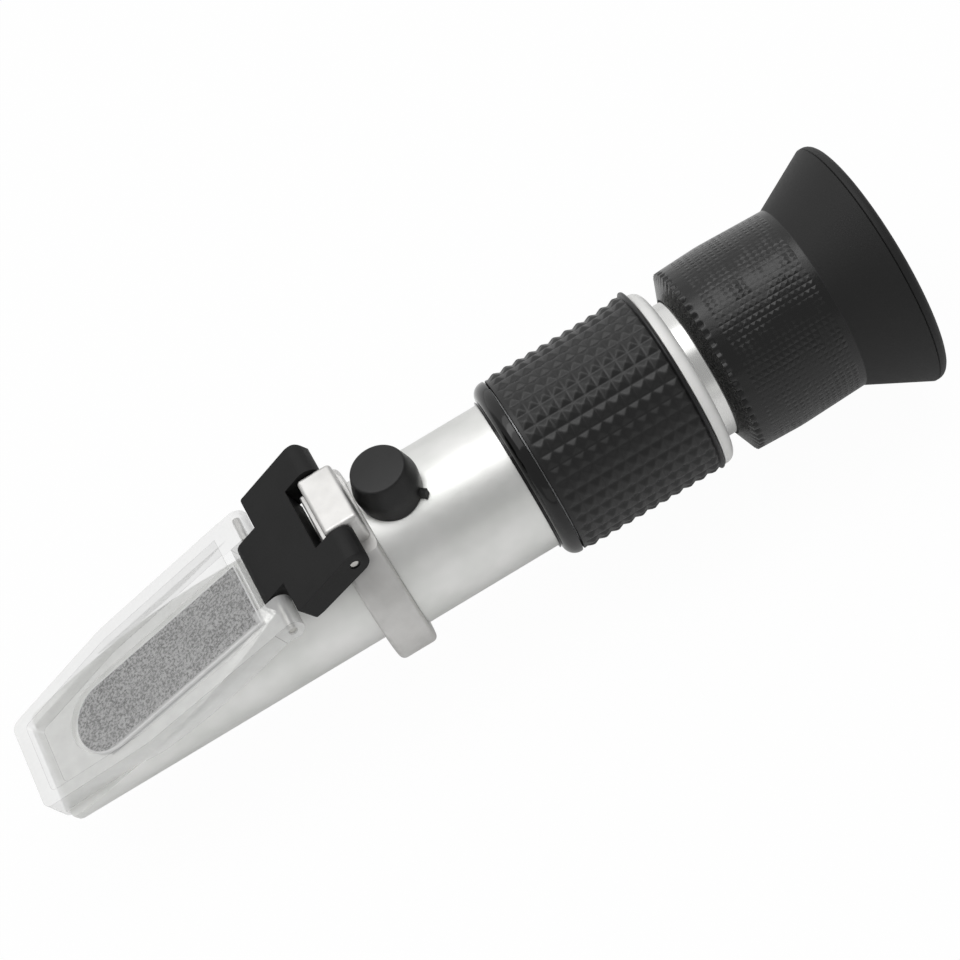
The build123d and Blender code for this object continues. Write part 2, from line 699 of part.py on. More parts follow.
def bracket_profile():
    """Side view of the bracket: two rounds about its pins and the slab between them."""
    run = BRACKET_PIN_STATION - PLATE_PIN_STATION
    rise = BRACKET_PIN_HEIGHT - PLATE_PIN_HEIGHT
    lean = atan2(rise, run)
    spread = asin((EAR_R - KNUCKLE_R) / hypot(run, rise))
    pins = [
        (PLATE_PIN_STATION, PLATE_PIN_HEIGHT, KNUCKLE_R),
        (BRACKET_PIN_STATION, BRACKET_PIN_HEIGHT, EAR_R),
    ]
    corners = []
    for side in (1, -1):
        normal = lean + side * (radians(90) + spread)
        row = [(x + r * cos(normal), z + r * sin(normal)) for x, z, r in pins]
        corners += row if side == 1 else row[::-1]
    face = outline(corners)
    for x, z, r in pins:
        face += Pos(x, z) * Circle(r)
    return face


def bracket_plan():
    """Plan of the bracket about its pin, with the slab lying flat: ears, shoulders and tongue."""
    length = hypot(BRACKET_PIN_STATION - PLATE_PIN_STATION, BRACKET_PIN_HEIGHT - PLATE_PIN_HEIGHT)
    tip = -length - KNUCKLE_R
    half = [
        (EAR_R, EAR_HALF_SPAN, EAR_CORNER), (-SHOULDER_REACH, EAR_HALF_SPAN, SHOULDER_CORNER),
        (-SHOULDER_REACH, TONGUE_HALF_WIDTH), (tip, TONGUE_HALF_WIDTH, TONGUE_CORNER),
    ]
    other = [(point[0], -point[1], *point[2:]) for point in reversed(half)]
    return outline(half + other)


def hinge_bracket():
    """Black bracket: ears on the collar's block, shoulders, and a tongue between the knuckles."""
    lean = degrees(atan2(BRACKET_PIN_HEIGHT - PLATE_PIN_HEIGHT, BRACKET_PIN_STATION - PLATE_PIN_STATION))
    plan = extrude(bracket_plan(), amount=2 * EAR_R, both=True)
    plan = Pos(BRACKET_PIN_STATION, 0, BRACKET_PIN_HEIGHT) * Rot(0, -lean, 0) * plan
    body = side_slab(bracket_profile(), EAR_HALF_SPAN) & plan
    slot = block(
        BRACKET_PIN_STATION - SLOT_REACH, BRACKET_PIN_STATION + 2 * EAR_R,
        BLOCK_HALF_WIDTH + HINGE_GAP, 0, 2 * BRACKET_PIN_HEIGHT,
    )
    size = 4 * EAR_HALF_SPAN
    relief = on_slope(Pos(0, 0, PRISM_FACE + BRACKET_RELIEF - size / 2) * Box(size, size, size))
    return body - slot - relief - bracket_pin_bore(SLIP) - plate_pin_bore(SLIP)


def bracket_pin():
    """Steel pin through the bracket's ears and the collar's block."""
    return cross_pin(BRACKET_PIN_STATION, BRACKET_PIN_HEIGHT, BRACKET_PIN_R, EAR_HALF_SPAN - PIN_RECESS)


def plate_pin():
    """Steel pin through the bracket's tongue and the cover's knuckles."""
    return cross_pin(PLATE_PIN_STATION, PLATE_PIN_HEIGHT, PLATE_PIN_R, EAR_HALF_SPAN - PIN_RECESS)


# Cover plate and frosted pad


def cover_half_width(reach):
    """Half width of the cover at a distance from the plate pin."""
    if reach < COVER_KNEE:
        share = reach / COVER_KNEE
        return COVER_REAR_HALF + share * (COVER_KNEE_HALF - COVER_REAR_HALF)
    share = (reach - COVER_KNEE) / (COVER_LEN - COVER_KNEE)
    return COVER_KNEE_HALF + share * (COVER_FRONT_HALF - COVER_KNEE_HALF)


def cover_plan(rear, front, inset, corner):
    """Plan of the cover between two distances from the plate pin, drawn in by an inset."""
    half = [
        (-rear, cover_half_width(rear) - inset), (-COVER_KNEE, COVER_KNEE_HALF - inset, COVER_KNEE_ROUND),
        (-front, cover_half_width(front) - inset, corner),
    ]
    other = [(point[0], -point[1], *point[2:]) for point in reversed(half)]
    return outline(half + other)


def tray_recess():
    """The cover's open tray: drafted walls from the rim down to a flat floor."""
    rear = KNUCKLE_R + COVER_REAR_GAP + TRAY_REAR_WALL
    front = COVER_LEN - RIM_WIDTH
    top = cover_plan(rear, front, RIM_WIDTH, TRAY_CORNER)
    floor = cover_plan(rear + RIM_DRAFT / 2, front - RIM_DRAFT, RIM_WIDTH + RIM_DRAFT, TRAY_CORNER)
    return loft([Pos(0, 0, KNUCKLE_R - TRAY_DEPTH) * floor, Pos(0, 0, KNUCKLE_R) * top], ruled=True)


def cover_flanges():
    """Side flanges that lap the housing, with a bowed lower edge."""
    inner = HOUSING_R + HINGE_GAP
    middle = (FLANGE_FRONT + FLANGE_REAR) / 2
    rear = (-FLANGE_REAR, COVER_SEAT)
    front = (-FLANGE_FRONT, COVER_SEAT)
    edge = Edge.make_three_point_arc(front, (-middle, COVER_SEAT - FLANGE_DROP), rear)
    top = COVER_SEAT + SLIP
    sides = Polyline(rear, (-FLANGE_REAR, top), (-FLANGE_FRONT, top), front)
    bow = side_slab(make_face([edge] + sides.edges()), 2 * COVER_REAR_HALF)
    wide = extrude(cover_plan(0, COVER_LEN, 0, COVER_CORNER), amount=2 * COVER_THICK, both=True)
    band = wide - Box(4 * COVER_LEN, 2 * inner, 8 * COVER_THICK)
    return bow & band


def cover_knuckles():
    """Two barrels about the plate pin, beside the bracket's tongue."""
    inner = TONGUE_HALF_WIDTH + HINGE_GAP
    length = EAR_HALF_SPAN - inner
    knuckle = Rot(90, 0, 0) * Cylinder(KNUCKLE_R, length)
    neck = Pos(-KNUCKLE_R / 2 - COVER_REAR_GAP, 0, COVER_SEAT / 2 + KNUCKLE_R / 2) * Box(
        KNUCKLE_R + 2 * COVER_REAR_GAP, length, COVER_THICK
    )
    middle = inner + length / 2
    return [Pos(0, side * middle, 0) * (knuckle + neck) for side in (1, -1)]


def pad_plan(grow):
    """Stadium with a round front end and a straight rear end."""
    straight = PAD_STRAIGHT_END - PAD_REAR
    half = PAD_HALF_WIDTH + grow
    shape = Pos(-(PAD_STRAIGHT_END + PAD_REAR) / 2, 0) * Rectangle(straight + 2 * grow, 2 * half)
    return shape + Pos(-PAD_STRAIGHT_END, 0) * Circle(half)


def cover_plate():
    """Clear moulded cover: an open tray with a rim, front lip, side flanges and hinge knuckles."""
    rear = KNUCKLE_R + COVER_REAR_GAP
    plan = cover_plan(rear, COVER_LEN, 0, COVER_CORNER)
    body = Pos(0, 0, COVER_SEAT) * extrude(plan, amount=COVER_THICK)
    body -= tray_recess()
    rib = Pos(-PAD_REAR - CROSS_RIB_WIDTH / 2, 0, KNUCKLE_R - TRAY_DEPTH + CROSS_RIB_HEIGHT / 2)
    body += rib * Box(CROSS_RIB_WIDTH, 2 * PAD_HALF_WIDTH, CROSS_RIB_HEIGHT)
    body += cover_flanges()
    body += front_lip()
    body += cover_knuckles()
    body -= Pos(0, 0, COVER_SEAT) * extrude(pad_plan(SLIP), amount=PAD_THICK + SLIP)
    return on_slope(body) - plate_pin_bore(RUN)


def front_lip():
    """Lip that hangs from the cover's front edge ahead of the housing."""
    reach = (PLATE_PIN_STATION + HOUSING_LEN) / cos(SLOPE)
    reach -= (COVER_SEAT - LIP_DEPTH) * tan(SLOPE)
    start = reach + LIP_CLEARANCE / cos(SLOPE)
    plan = cover_plan(KNUCKLE_R, COVER_LEN, 0, COVER_CORNER)
    plan -= Rectangle(2 * start, 4 * COVER_REAR_HALF)
    return Pos(0, 0, COVER_SEAT - LIP_DEPTH) * extrude(plan, amount=LIP_DEPTH)


def frosted_pad():
    """Frosted sheet let into the cover's underside, which lies on the prism."""
    return on_slope(Pos(0, 0, COVER_SEAT) * extrude(pad_plan(0), amount=PAD_THICK))


PIECES = [
    prism_housing, measuring_prism, prism_seal, light_baffle, hinge_collar, barrel_tube,
    screw_bush, calibration_screw, screw_cap, lens_carriage, objective_lens, objective_retainer,
    bimetal_strip, strip_clamp, front_ring, grip_sleeve, rubber_grip, rear_ring, focus_seal,
    reticle_ring, reticle_disc, focus_barrel, lens_cell, guide_key, field_lens, lens_spacer,
    eye_lens, lens_retainer, eyecup, hinge_bracket, bracket_pin, plate_pin, cover_plate, frosted_pad,
]

os.makedirs("parts", exist_ok=True)
for piece in PIECES:
    export_step(place(piece()), f"parts/{piece.__name__}.step")
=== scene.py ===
"""Hand refractometer for honey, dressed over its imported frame.

Lengths are written in millimetres, as on a workshop drawing, and become metres where a mesh is made.
A station is a distance along the optical axis from the front face of the hinge collar.
"""

import json
import logging
import math
from dataclasses import dataclass, field
from enum import Enum
from typing import Any

import bmesh
import bpy
from mathutils import Matrix, Vector

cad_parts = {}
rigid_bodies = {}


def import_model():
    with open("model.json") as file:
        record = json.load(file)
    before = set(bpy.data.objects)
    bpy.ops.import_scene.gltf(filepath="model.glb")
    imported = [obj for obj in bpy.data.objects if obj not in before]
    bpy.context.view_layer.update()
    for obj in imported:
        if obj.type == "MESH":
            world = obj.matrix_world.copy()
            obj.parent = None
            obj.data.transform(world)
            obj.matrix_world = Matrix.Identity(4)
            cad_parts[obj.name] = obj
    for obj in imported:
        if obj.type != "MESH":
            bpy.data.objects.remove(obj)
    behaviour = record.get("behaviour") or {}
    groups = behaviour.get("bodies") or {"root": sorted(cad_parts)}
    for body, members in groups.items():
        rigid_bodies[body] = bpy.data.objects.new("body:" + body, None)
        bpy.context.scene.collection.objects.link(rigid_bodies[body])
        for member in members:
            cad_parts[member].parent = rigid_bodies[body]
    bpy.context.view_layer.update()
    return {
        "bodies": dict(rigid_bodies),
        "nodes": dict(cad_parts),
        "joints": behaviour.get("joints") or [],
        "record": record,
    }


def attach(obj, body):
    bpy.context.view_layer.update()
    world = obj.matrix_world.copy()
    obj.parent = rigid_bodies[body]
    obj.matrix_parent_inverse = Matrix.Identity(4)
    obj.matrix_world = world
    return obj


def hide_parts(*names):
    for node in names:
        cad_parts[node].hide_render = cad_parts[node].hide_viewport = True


LOG = logging.getLogger("refractometer")
MM = 0.001

Profile = list[tuple[float, float]]
Corner = tuple[float, ...]
Material = bpy.types.Material
Mesh = bpy.types.Mesh
Object = bpy.types.Object
Socket = bpy.types.NodeSocket
Tree = bpy.types.NodeTree


@dataclass(frozen=True)
class Datum:
    """Where the optical axis and its stations lie in the part's frame."""

    shift: float = -18.3009
    height: float = 20.75

    def at(self, station: float, side: float = 0.0, rise: float = 0.0) -> Vector:
        """Point in metres, from a station, a distance towards +Y and a height over the axis in mm."""
        return Vector((station + self.shift, side, rise + self.height)) * MM

    def turned(self, degrees: float = 0.0, axis: str = "Z", station: float = 0.0,
               rise: float = 0.0) -> Matrix:
        """Frame at a station and a height over the axis in mm, turned about one of its own axes."""
        return Matrix.Translation(self.at(station, 0, rise)) @ Matrix.Rotation(math.radians(degrees), 4, axis)


DATUM = Datum()
# Station and height over the axis of the pin in the collar's block, and of the one in the cover's knuckles.
BLOCK_PIN = (2.08, 17.10)
KNUCKLE_PIN = (-10.89, 11.13)
# How far a cutting shape reaches past the metal, in mm.
PAST = 1.0


class Grain(Enum):
    """How a surface was made, as the stretch of its grain along X, Y and Z."""

    CAST = (1.0, 1.0, 1.0)
    TURNED = (1.0, 0.02, 0.02)
    DRAWN = (1.0, 0.03, 1.0)
    ROLLED = (0.04, 1.0, 1.0)


class Carving(Enum):
    """What is done with a closed shape to another one."""

    CUT = "DIFFERENCE"
    JOIN = "UNION"


# Node helpers


def linear(colour: str) -> tuple[float, float, float, float]:
    """Turns an sRGB hex colour into Blender's linear values.

    Args:
        colour: hex digits after a hash.

    Returns:
        Linear red, green, blue and an alpha of one.
    """
    parts = [int(colour[start:start + 2], 16) / 255 for start in (1, 3, 5)]
    red, green, blue = (c / 12.92 if c <= 0.04045 else ((c + 0.055) / 1.055) ** 2.4 for c in parts)
    return red, green, blue, 1.0


def add(tree: Tree, kind: str, settings: dict[str, Any] | None = None,
        feeds: dict[Any, Any] | None = None) -> bpy.types.Node:
    """Adds a node with its settings and links.

    Args:
        tree: node tree that takes the node.
        kind: the node's type name.
        settings: properties to set on it.
        feeds: a value or another node's output for each input, by name or number.

    Returns:
        The new node.
    """
    node = tree.nodes.new(kind)
    for key, value in (settings or {}).items():
        setattr(node, key, value)
    for socket, source in (feeds or {}).items():
        if isinstance(source, Socket):
            tree.links.new(source, node.inputs[socket])
        else:
            node.inputs[socket].default_value = source
    return node


def maths(tree: Tree, operation: str, *values: Socket | float, clamp: bool = False) -> Socket:
    """One step of arithmetic."""
    settings = {"operation": operation, "use_clamp": clamp}
    return add(tree, "ShaderNodeMath", settings, dict(enumerate(values))).outputs[0]


def ramp(tree: Tree, value: Socket, low: float, high: float, start: Socket | float = 0.0,
         end: Socket | float = 1.0, smooth: bool = False) -> Socket:
    """Turns one range of a value into another.

    Args:
        tree: node tree that takes the node.
        value: the value.
        low: where the range starts.
        high: where it ends.
        start: what the low end becomes.
        end: what the high end becomes.
        smooth: whether it eases in and out.

    Returns:
        The new value, which stays between its ends.
    """
    return add(tree, "ShaderNodeMapRange", {"interpolation_type": "SMOOTHSTEP" if smooth else "LINEAR"}, {
        "Value": value, "From Min": low, "From Max": high, "To Min": start, "To Max": end,
    }).outputs["Result"]


def axes(tree: Tree, vector: Socket) -> Any:
    """X, Y and Z of a vector, by name."""
    return add(tree, "ShaderNodeSeparateXYZ", {}, {0: vector}).outputs


def noise(tree: Tree, size_mm: float, detail: float, stretch: Corner = Grain.CAST.value,
          rough: float = 0.55) -> Socket:
    """Noise over a piece, whose cells have a real size.

    Args:
        tree: the material's node tree.
        size_mm: size of a cell.
        detail: octaves of finer noise.
        stretch: how the cells are squeezed along each axis.
        rough: strength of each finer octave.

    Returns:
        The noise value.
    """
    place = add(tree, "ShaderNodeMapping", {}, {
        "Vector": add(tree, "ShaderNodeTexCoord").outputs["Object"],
        "Scale": [share / (size_mm * MM) for share in stretch],
    })
    return add(tree, "ShaderNodeTexNoise", {}, {
        "Vector": place.outputs[0], "Scale": 1.0, "Detail": detail, "Roughness": rough,
    }).outputs["Fac"]


def tinted(tree: Tree, share: Socket, colour: str, second: str) -> Socket:
    """Mixes a share of a second colour into the first."""
    feeds = {0: share, 6: linear(colour), 7: linear(second)}
    return add(tree, "ShaderNodeMix", {"data_type": "RGBA"}, feeds).outputs[2]


def bumped(tree: Tree, height: Socket, depth_mm: float, under: Socket | None = None) -> Socket:
    """Normal of a surface with relief of a real depth, which may lie on another relief."""
    feeds = {"Height": height, "Distance": depth_mm * MM} | ({} if under is None else {"Normal": under})
    return add(tree, "ShaderNodeBump", {}, feeds).outputs["Normal"]


def layered(tree: Tree, share: Socket, under: bpy.types.Node, over: bpy.types.Node) -> bpy.types.Node:
    """Lays a share of one shader over another."""
    return add(tree, "ShaderNodeMixShader", {}, {0: share, 1: under.outputs[0], 2: over.outputs[0]})


# Finishes


@dataclass(frozen=True)
class Finish:
    """An opaque finish with clouds of a second colour and a fine grain.

    The grain sets the roughness and the bump, and the clouds keep large faces from looking painted.
    A wave is the shallow unevenness that polishing leaves, which makes the edge of a highlight wander.
    """

    name: str
    colour: str
    second: str
    roughness: tuple[float, float]
    metallic: float = 0.0
    ior: float = 1.5
    specular: float = 0.5
    grain: Grain = Grain.CAST
    grain_mm: float = 0.4
    grain_detail: float = 3.0
    grain_range: tuple[float, float] = (0.3, 0.7)
    cloud_mm: float = 9.0
    cloud_detail: float = 2.0
    cloud_range: tuple[float, float] = (0.35, 0.65)
    relief_mm: float = 0.01
    wave_mm: float = 0.0

    def mottle(self, tree: Tree, fine: Socket, cloud: Socket) -> Socket:
        """Share of the second colour, here from the clouds alone."""
        return ramp(tree, cloud, *self.cloud_range)

    def relief(self, tree: Tree, fine: Socket) -> tuple[Socket, float]:
        """Height that bumps the surface, and its depth in mm."""
        return fine, self.relief_mm

    def dullness(self, tree: Tree, grainy: Socket) -> Socket:
        """Roughness over the whole piece, from the roughness of its grain."""
        return grainy

    def surface(self, tree: Tree) -> bpy.types.Node:
        """Builds the finish.

        Args:
            tree: the material's empty node tree.

        Returns:
            The shader.
        """
        fine = noise(tree, self.grain_mm, self.grain_detail, self.grain.value)
        cloud = noise(tree, self.cloud_mm, self.cloud_detail)
        height, depth = self.relief(tree, fine)
        return add(tree, "ShaderNodeBsdfPrincipled", {}, {
            "Base Color": tinted(tree, self.mottle(tree, fine, cloud), self.colour, self.second),
            "Roughness": self.dullness(tree, ramp(tree, fine, *self.grain_range, *self.roughness)),
            "Normal": bumped(tree, height, depth, bumped(tree, cloud, self.wave_mm)),
            "Metallic": self.metallic, "IOR": self.ior, "Specular IOR Level": self.specular,
        })


@dataclass(frozen=True)
class CrossHatch(Finish):
    """Satin rubber with a moulded hatch of small squares in a band round the eyepiece.

    The hatch follows the piece's own UV map: U runs once round it and V along its profile.
    It is worn in patches, and the flared cone behind it has a finer and duller mould texture.
    """

    pitch_mm: float = 1.05
    round_count: int = 100
    hatch_mm: float = 0.075
    steepness: float = 4.0
    blend: float = 0.12
    band: tuple[float, float] = (7.0, 21.8)
    fades: tuple[float, float] = (1.2, 0.4)
    worn_mm: float = 3.5
    worn_range: tuple[float, float] = (0.38, 0.62)
    worn_least: float = 0.15
    cone_start: float = 23.1
    cone_fade: float = 0.15
    cone_roughness: float = 0.62

    def spot(self, tree: Tree) -> Any:
        """Where a point lies: X is its share of a turn, and Y its way along the profile in metres."""
        return axes(tree, add(tree, "ShaderNodeUVMap", {"uv_map": "along"}).outputs["UV"])

    def dullness(self, tree: Tree, grainy: Socket) -> Socket:
        """Makes the cone duller than the rest."""
        edges = ((self.cone_start + way * self.cone_fade) * MM for way in (-1, 1))
        return ramp(tree, self.spot(tree)["Y"], *edges, grainy, self.cone_roughness, smooth=True)

    def relief(self, tree: Tree, fine: Socket) -> tuple[Socket, float]:
        """Adds the hatch inside its band to the fine grain.

        Args:
            tree: the material's node tree.
            fine: the fine grain.

        Returns:
            The height, and its depth in mm.
        """
        turn, level = self.spot(tree)["X"], self.spot(tree)["Y"]
        waves = [
            maths(tree, "PINGPONG", maths(tree, "MULTIPLY", way, count), 0.5)
            for way, count in ((turn, self.round_count), (level, 1 / (self.pitch_mm * MM)))
        ]
        squares = maths(tree, "SMOOTH_MIN", *waves, self.blend)
        worn = ramp(tree, noise(tree, self.worn_mm, 2.0), *self.worn_range, self.worn_least, 1.0)
        first, last = self.band
        opening = ramp(tree, level, (first - self.fades[0]) * MM, first * MM, smooth=True)
        closing = ramp(tree, level, last * MM, (last + self.fades[1]) * MM, 1.0, 0.0, smooth=True)
        hatch = maths(tree, "MULTIPLY", maths(tree, "MULTIPLY", squares, worn),
                      maths(tree, "MULTIPLY", opening, closing))
        height = maths(tree, "MULTIPLY_ADD", fine, self.relief_mm / self.hatch_mm, hatch)
        return height, self.hatch_mm * self.steepness


@dataclass(frozen=True)
class Frosted(Finish):
    """Ground glass-like sheet: a mid grey broken up by coarse sparkling grain, a little patchy."""

    grain_mm: float = 0.40
    grain_detail: float = 4.0
    grain_range: tuple[float, float] = (0.0, 1.0)
    cloud_detail: float = 1.0
    patch_share: float = 0.12
    contrast: float = 0.11

    def mottle(self, tree: Tree, fine: Socket, cloud: Socket) -> Socket:
        """Share of the second colour, mostly from the grain.

        Args:
            tree: the material's node tree.
            fine: the coarse sparkling grain.
            cloud: the patches.

        Returns:
            The share.
        """
        middle = 0.5 + self.patch_share / 2
        uneven = maths(tree, "MULTIPLY_ADD", cloud, self.patch_share, fine)
        return ramp(tree, uneven, middle - self.contrast, middle + self.contrast)


@dataclass(frozen=True)
class Clear:
    """A lens or prism: light passes through, with a faint uneven gloss."""

    name: str
    colour: str
    roughness: tuple[float, float]
    ior: float
    ripple_mm: float = 12.0
    relief_mm: float = 0.0005

    def surface(self, tree: Tree) -> bpy.types.Node:
        """Builds the finish.

        Args:
            tree: the material's empty node tree.

        Returns:
            The shader.
        """
        ripple = noise(tree, self.ripple_mm, 2.0, rough=0.5)
        return add(tree, "ShaderNodeBsdfPrincipled", {}, {
            "Base Color": linear(self.colour), "Roughness": ramp(tree, ripple, 0.3, 0.7, *self.roughness),
            "IOR": self.ior, "Transmission Weight": 1.0, "Normal": bumped(tree, ripple, self.relief_mm),
        })


@dataclass(frozen=True)
class Milky:
    """A thin clear moulding with a slight haze, which passes light straight on and shines at its edges.

    The haze lies on the outer faces alone, because inner faces get no light and would darken it.
    A window with one round end stays clearer than the walls about it. Haze and shine are given for a
    face seen square on and for one seen edge on. Faces seen edge on are also painted towards a darker
    grey, a painted shade for how the edges of clear plastic darken.
    """

    name: str
    colour: str
    # Darker grey that faces seen edge on are painted towards: painted shade.
    edge_on_shade: str
    haze: tuple[float, float]
    roughness: float
    shine: tuple[float, float] = (0.03, 0.30)
    cloud_mm: float = 2.5
    relief_mm: float = 0.006
    unevenness: float = 0.03
    steepness: float = 3.0
    wall_haze: float | None = None
    window_half: float = 0.0
    window_end: float = 0.0
    window_fade: float = 0.5

    def beyond_window(self, tree: Tree) -> Socket:
        """Mask that is one outside the clear window.

        Args:
            tree: the material's node tree.

        Returns:
            The mask.
        """
        spot = axes(tree, add(tree, "ShaderNodeTexCoord").outputs["Object"])
        past = maths(tree, "MAXIMUM", maths(tree, "SUBTRACT", self.window_end * MM, spot["X"]), 0.0)
        plan = add(tree, "ShaderNodeCombineXYZ", {}, {"X": past, "Y": spot["Y"]})
        reach = add(tree, "ShaderNodeVectorMath", {"operation": "LENGTH"}, {0: plan.outputs[0]})
        edge = self.window_half + self.window_fade
        return ramp(tree, reach.outputs["Value"], self.window_half * MM, edge * MM, smooth=True)

    def surface(self, tree: Tree) -> bpy.types.Node:
        """Builds the finish.

        Args:
            tree: the material's empty node tree.

        Returns:
            The shader.
        """
        cloud = noise(tree, self.cloud_mm, 3.0, rough=0.5)
        gloss = {"Roughness": self.roughness, "Normal": bumped(tree, cloud, self.relief_mm)}
        slant = add(tree, "ShaderNodeLayerWeight", {}, {"Blend": 0.5}).outputs["Facing"]
        steep = maths(tree, "POWER", slant, self.steepness)
        walls = self.haze[0] if self.wall_haze is None else self.wall_haze
        square_on = ramp(tree, self.beyond_window(tree), 0.0, 1.0, self.haze[0], walls)
        haze = ramp(tree, steep, 0.0, 1.0, square_on, self.haze[1])
        uneven = ramp(tree, cloud, 0.3, 0.7, -self.unevenness, self.unevenness)
        outer = maths(tree, "SUBTRACT", 1.0, add(tree, "ShaderNodeNewGeometry").outputs["Backfacing"])
        share = maths(tree, "MULTIPLY", maths(tree, "ADD", haze, uneven, clamp=True), outer)
        clear = add(tree, "ShaderNodeBsdfTransparent", {}, {"Color": linear("#fcfcfc")})
        # Painted shade: the milk's colour turns darker grey on faces seen edge on.
        milk = add(tree, "ShaderNodeBsdfPrincipled", {}, {
            "Base Color": tinted(tree, steep, self.colour, self.edge_on_shade), **gloss,
        })
        mirror = add(tree, "ShaderNodeBsdfAnisotropic", {}, {"Color": linear("#ffffff"), **gloss})
        body = layered(tree, share, clear, milk)
        return layered(tree, ramp(tree, steep, 0.0, 1.0, *self.shine), body, mirror)


@dataclass(frozen=True)
class Paper:
    """White paper, lifted towards pure white for each kind of ray that sees it."""

    name: str
    colour: str
    lifts: tuple[tuple[str, float], ...]

    def surface(self, tree: Tree) -> bpy.types.Node:
        """Builds the finish.

        Args:
            tree: the material's empty node tree.

        Returns:
            The shader.
        """
        path = add(tree, "ShaderNodeLightPath").outputs
        lift, *others = (maths(tree, "MULTIPLY", path[ray], level) for ray, level in self.lifts)
        for other in others:
            lift = maths(tree, "MAXIMUM", lift, other)
        paper = add(tree, "ShaderNodeBsdfDiffuse", {}, {"Color": linear(self.colour)})
        glow = add(tree, "ShaderNodeEmission", {}, {"Color": linear("#ffffff"), "Strength": 1.0})
        return layered(tree, lift, paper, glow)


AnyFinish = Finish | Clear | Milky | Paper

# Satin anodised aluminium spreads the overhead light into a wide soft band with a wandering edge.
SATIN_ALUMINIUM = Finish("satin_anodised_aluminium", "#e8e8e6", "#dedfdc", (0.34, 0.44), metallic=1.0,
                         grain_mm=0.25, cloud_mm=7.0, relief_mm=0.0015, wave_mm=0.10)
# Die-cast and barrel-polished aluminium, a touch greyer and rougher than the tube.
CAST_ALUMINIUM = Finish("die_cast_aluminium", "#d7d6d4", "#cbcac8", (0.42, 0.52), metallic=1.0,
                        grain_mm=0.5, cloud_mm=5.0, relief_mm=0.004, wave_mm=0.03)
# Fine-turned aluminium keeps rings left by the tool, which narrow its highlight.
TURNED_ALUMINIUM = Finish("fine_turned_aluminium", "#e6e6e4", "#dcdcda", (0.20, 0.30), metallic=1.0,
                          grain=Grain.TURNED, grain_mm=0.12, cloud_mm=11.0, relief_mm=0.002)
# Bead-blasted aluminium under a clear lacquer scatters the light, so that the ring looks evenly pale.
BLASTED_ALUMINIUM = Finish("bead_blasted_aluminium", "#f2f2f0", "#eaeae8", (0.50, 0.60), metallic=0.10,
                           grain_mm=0.2, cloud_mm=6.0, relief_mm=0.004)
# Plain turned aluminium of the hidden sleeve.
PLAIN_ALUMINIUM = Finish("plain_turned_aluminium", "#b4b5b6", "#a6a7a9", (0.35, 0.5), metallic=1.0,
                         grain=Grain.TURNED, grain_mm=0.2, relief_mm=0.004)
# Compression-moulded nitrile rubber drinks the light, and only its crests catch the lamp.
KNURLED_RUBBER = Finish("moulded_nitrile_rubber", "#101010", "#0b0b0b", (0.32, 0.44), specular=0.46,
                        grain_mm=0.18, cloud_mm=6.0, relief_mm=0.006)
# Soft satin rubber of the cap: smoother than the grip, so its edge catches a soft line.
SATIN_RUBBER = Finish("satin_silicone_rubber", "#191919", "#141414", (0.38, 0.48), specular=0.36,
                      grain_mm=0.3, cloud_mm=4.0, relief_mm=0.006)
# Moulded eyecup rubber: satin, with its hatch.
CUP_RUBBER = CrossHatch("hatched_eyecup_rubber", "#0c0c0c", "#090909", (0.22, 0.30), specular=0.45,
                        grain_mm=0.35, cloud_mm=12.0, relief_mm=0.005)
# Spark-eroded mould texture on glass-filled nylon gives an even matte black.
MATTE_NYLON = Finish("textured_black_nylon", "#181818", "#141414", (0.50, 0.62), specular=0.25,
                     grain_mm=0.16, cloud_mm=7.0, relief_mm=0.008)
# Polished black ABS mirrors the lamps as sharp edges of light.
GLOSS_ABS = Finish("polished_black_abs", "#090909", "#060606", (0.07, 0.12), ior=1.53, specular=0.4,
                   grain_mm=1.5, relief_mm=0.001)
# Drawn stainless pin, cropped and tumbled.
PIN_STEEL = Finish("drawn_stainless_steel", "#c9c8c4", "#b9b8b4", (0.25, 0.38), metallic=1.0,
                   grain=Grain.DRAWN, grain_mm=0.1, cloud_mm=2.0, relief_mm=0.002)
# Turned and slotted screw steel.
SCREW_STEEL = Finish("turned_screw_steel", "#bdbdbb", "#acacaa", (0.22, 0.34), metallic=1.0,
                     grain_mm=0.15, cloud_mm=2.0, relief_mm=0.003)
# Turned brass, slightly dulled by handling.
BRASS = Finish("turned_brass", "#c9a561", "#b89252", (0.24, 0.36), metallic=1.0,
               grain_mm=0.15, cloud_mm=3.0, relief_mm=0.003)
# Rolled two-metal leaf, a duller straw colour with lines along it.
BIMETAL = Finish("rolled_bimetal_strip", "#b39a6a", "#a08a60", (0.3, 0.42), metallic=1.0,
                 grain=Grain.ROLLED, grain_mm=0.1, relief_mm=0.003)
# Dyed black anodising inside the tube kills stray light.
BLACK_ANODISED = Finish("black_anodised_aluminium", "#1c1c1e", "#161618", (0.42, 0.54), metallic=0.6,
                        grain=Grain.TURNED, grain_mm=0.15, relief_mm=0.004)
# Flat black plastic of stops and cells.
FLAT_BLACK = Finish("flat_black_polycarbonate", "#1b1b1b", "#151515", (0.66, 0.8), grain_mm=0.2)
# Soft sealing rubber, dusty and dull.
SEAL_RUBBER = Finish("dull_seal_rubber", "#262626", "#1f1f1f", (0.6, 0.75), grain_mm=0.2, relief_mm=0.012)
# Ground sheet, a mid grey with a coarse sparkle.
FROSTED_SHEET = Frosted("ground_frosted_sheet", "#303030", "#b0b0b0", (0.45, 0.7),
                        cloud_mm=3.0, relief_mm=0.04)
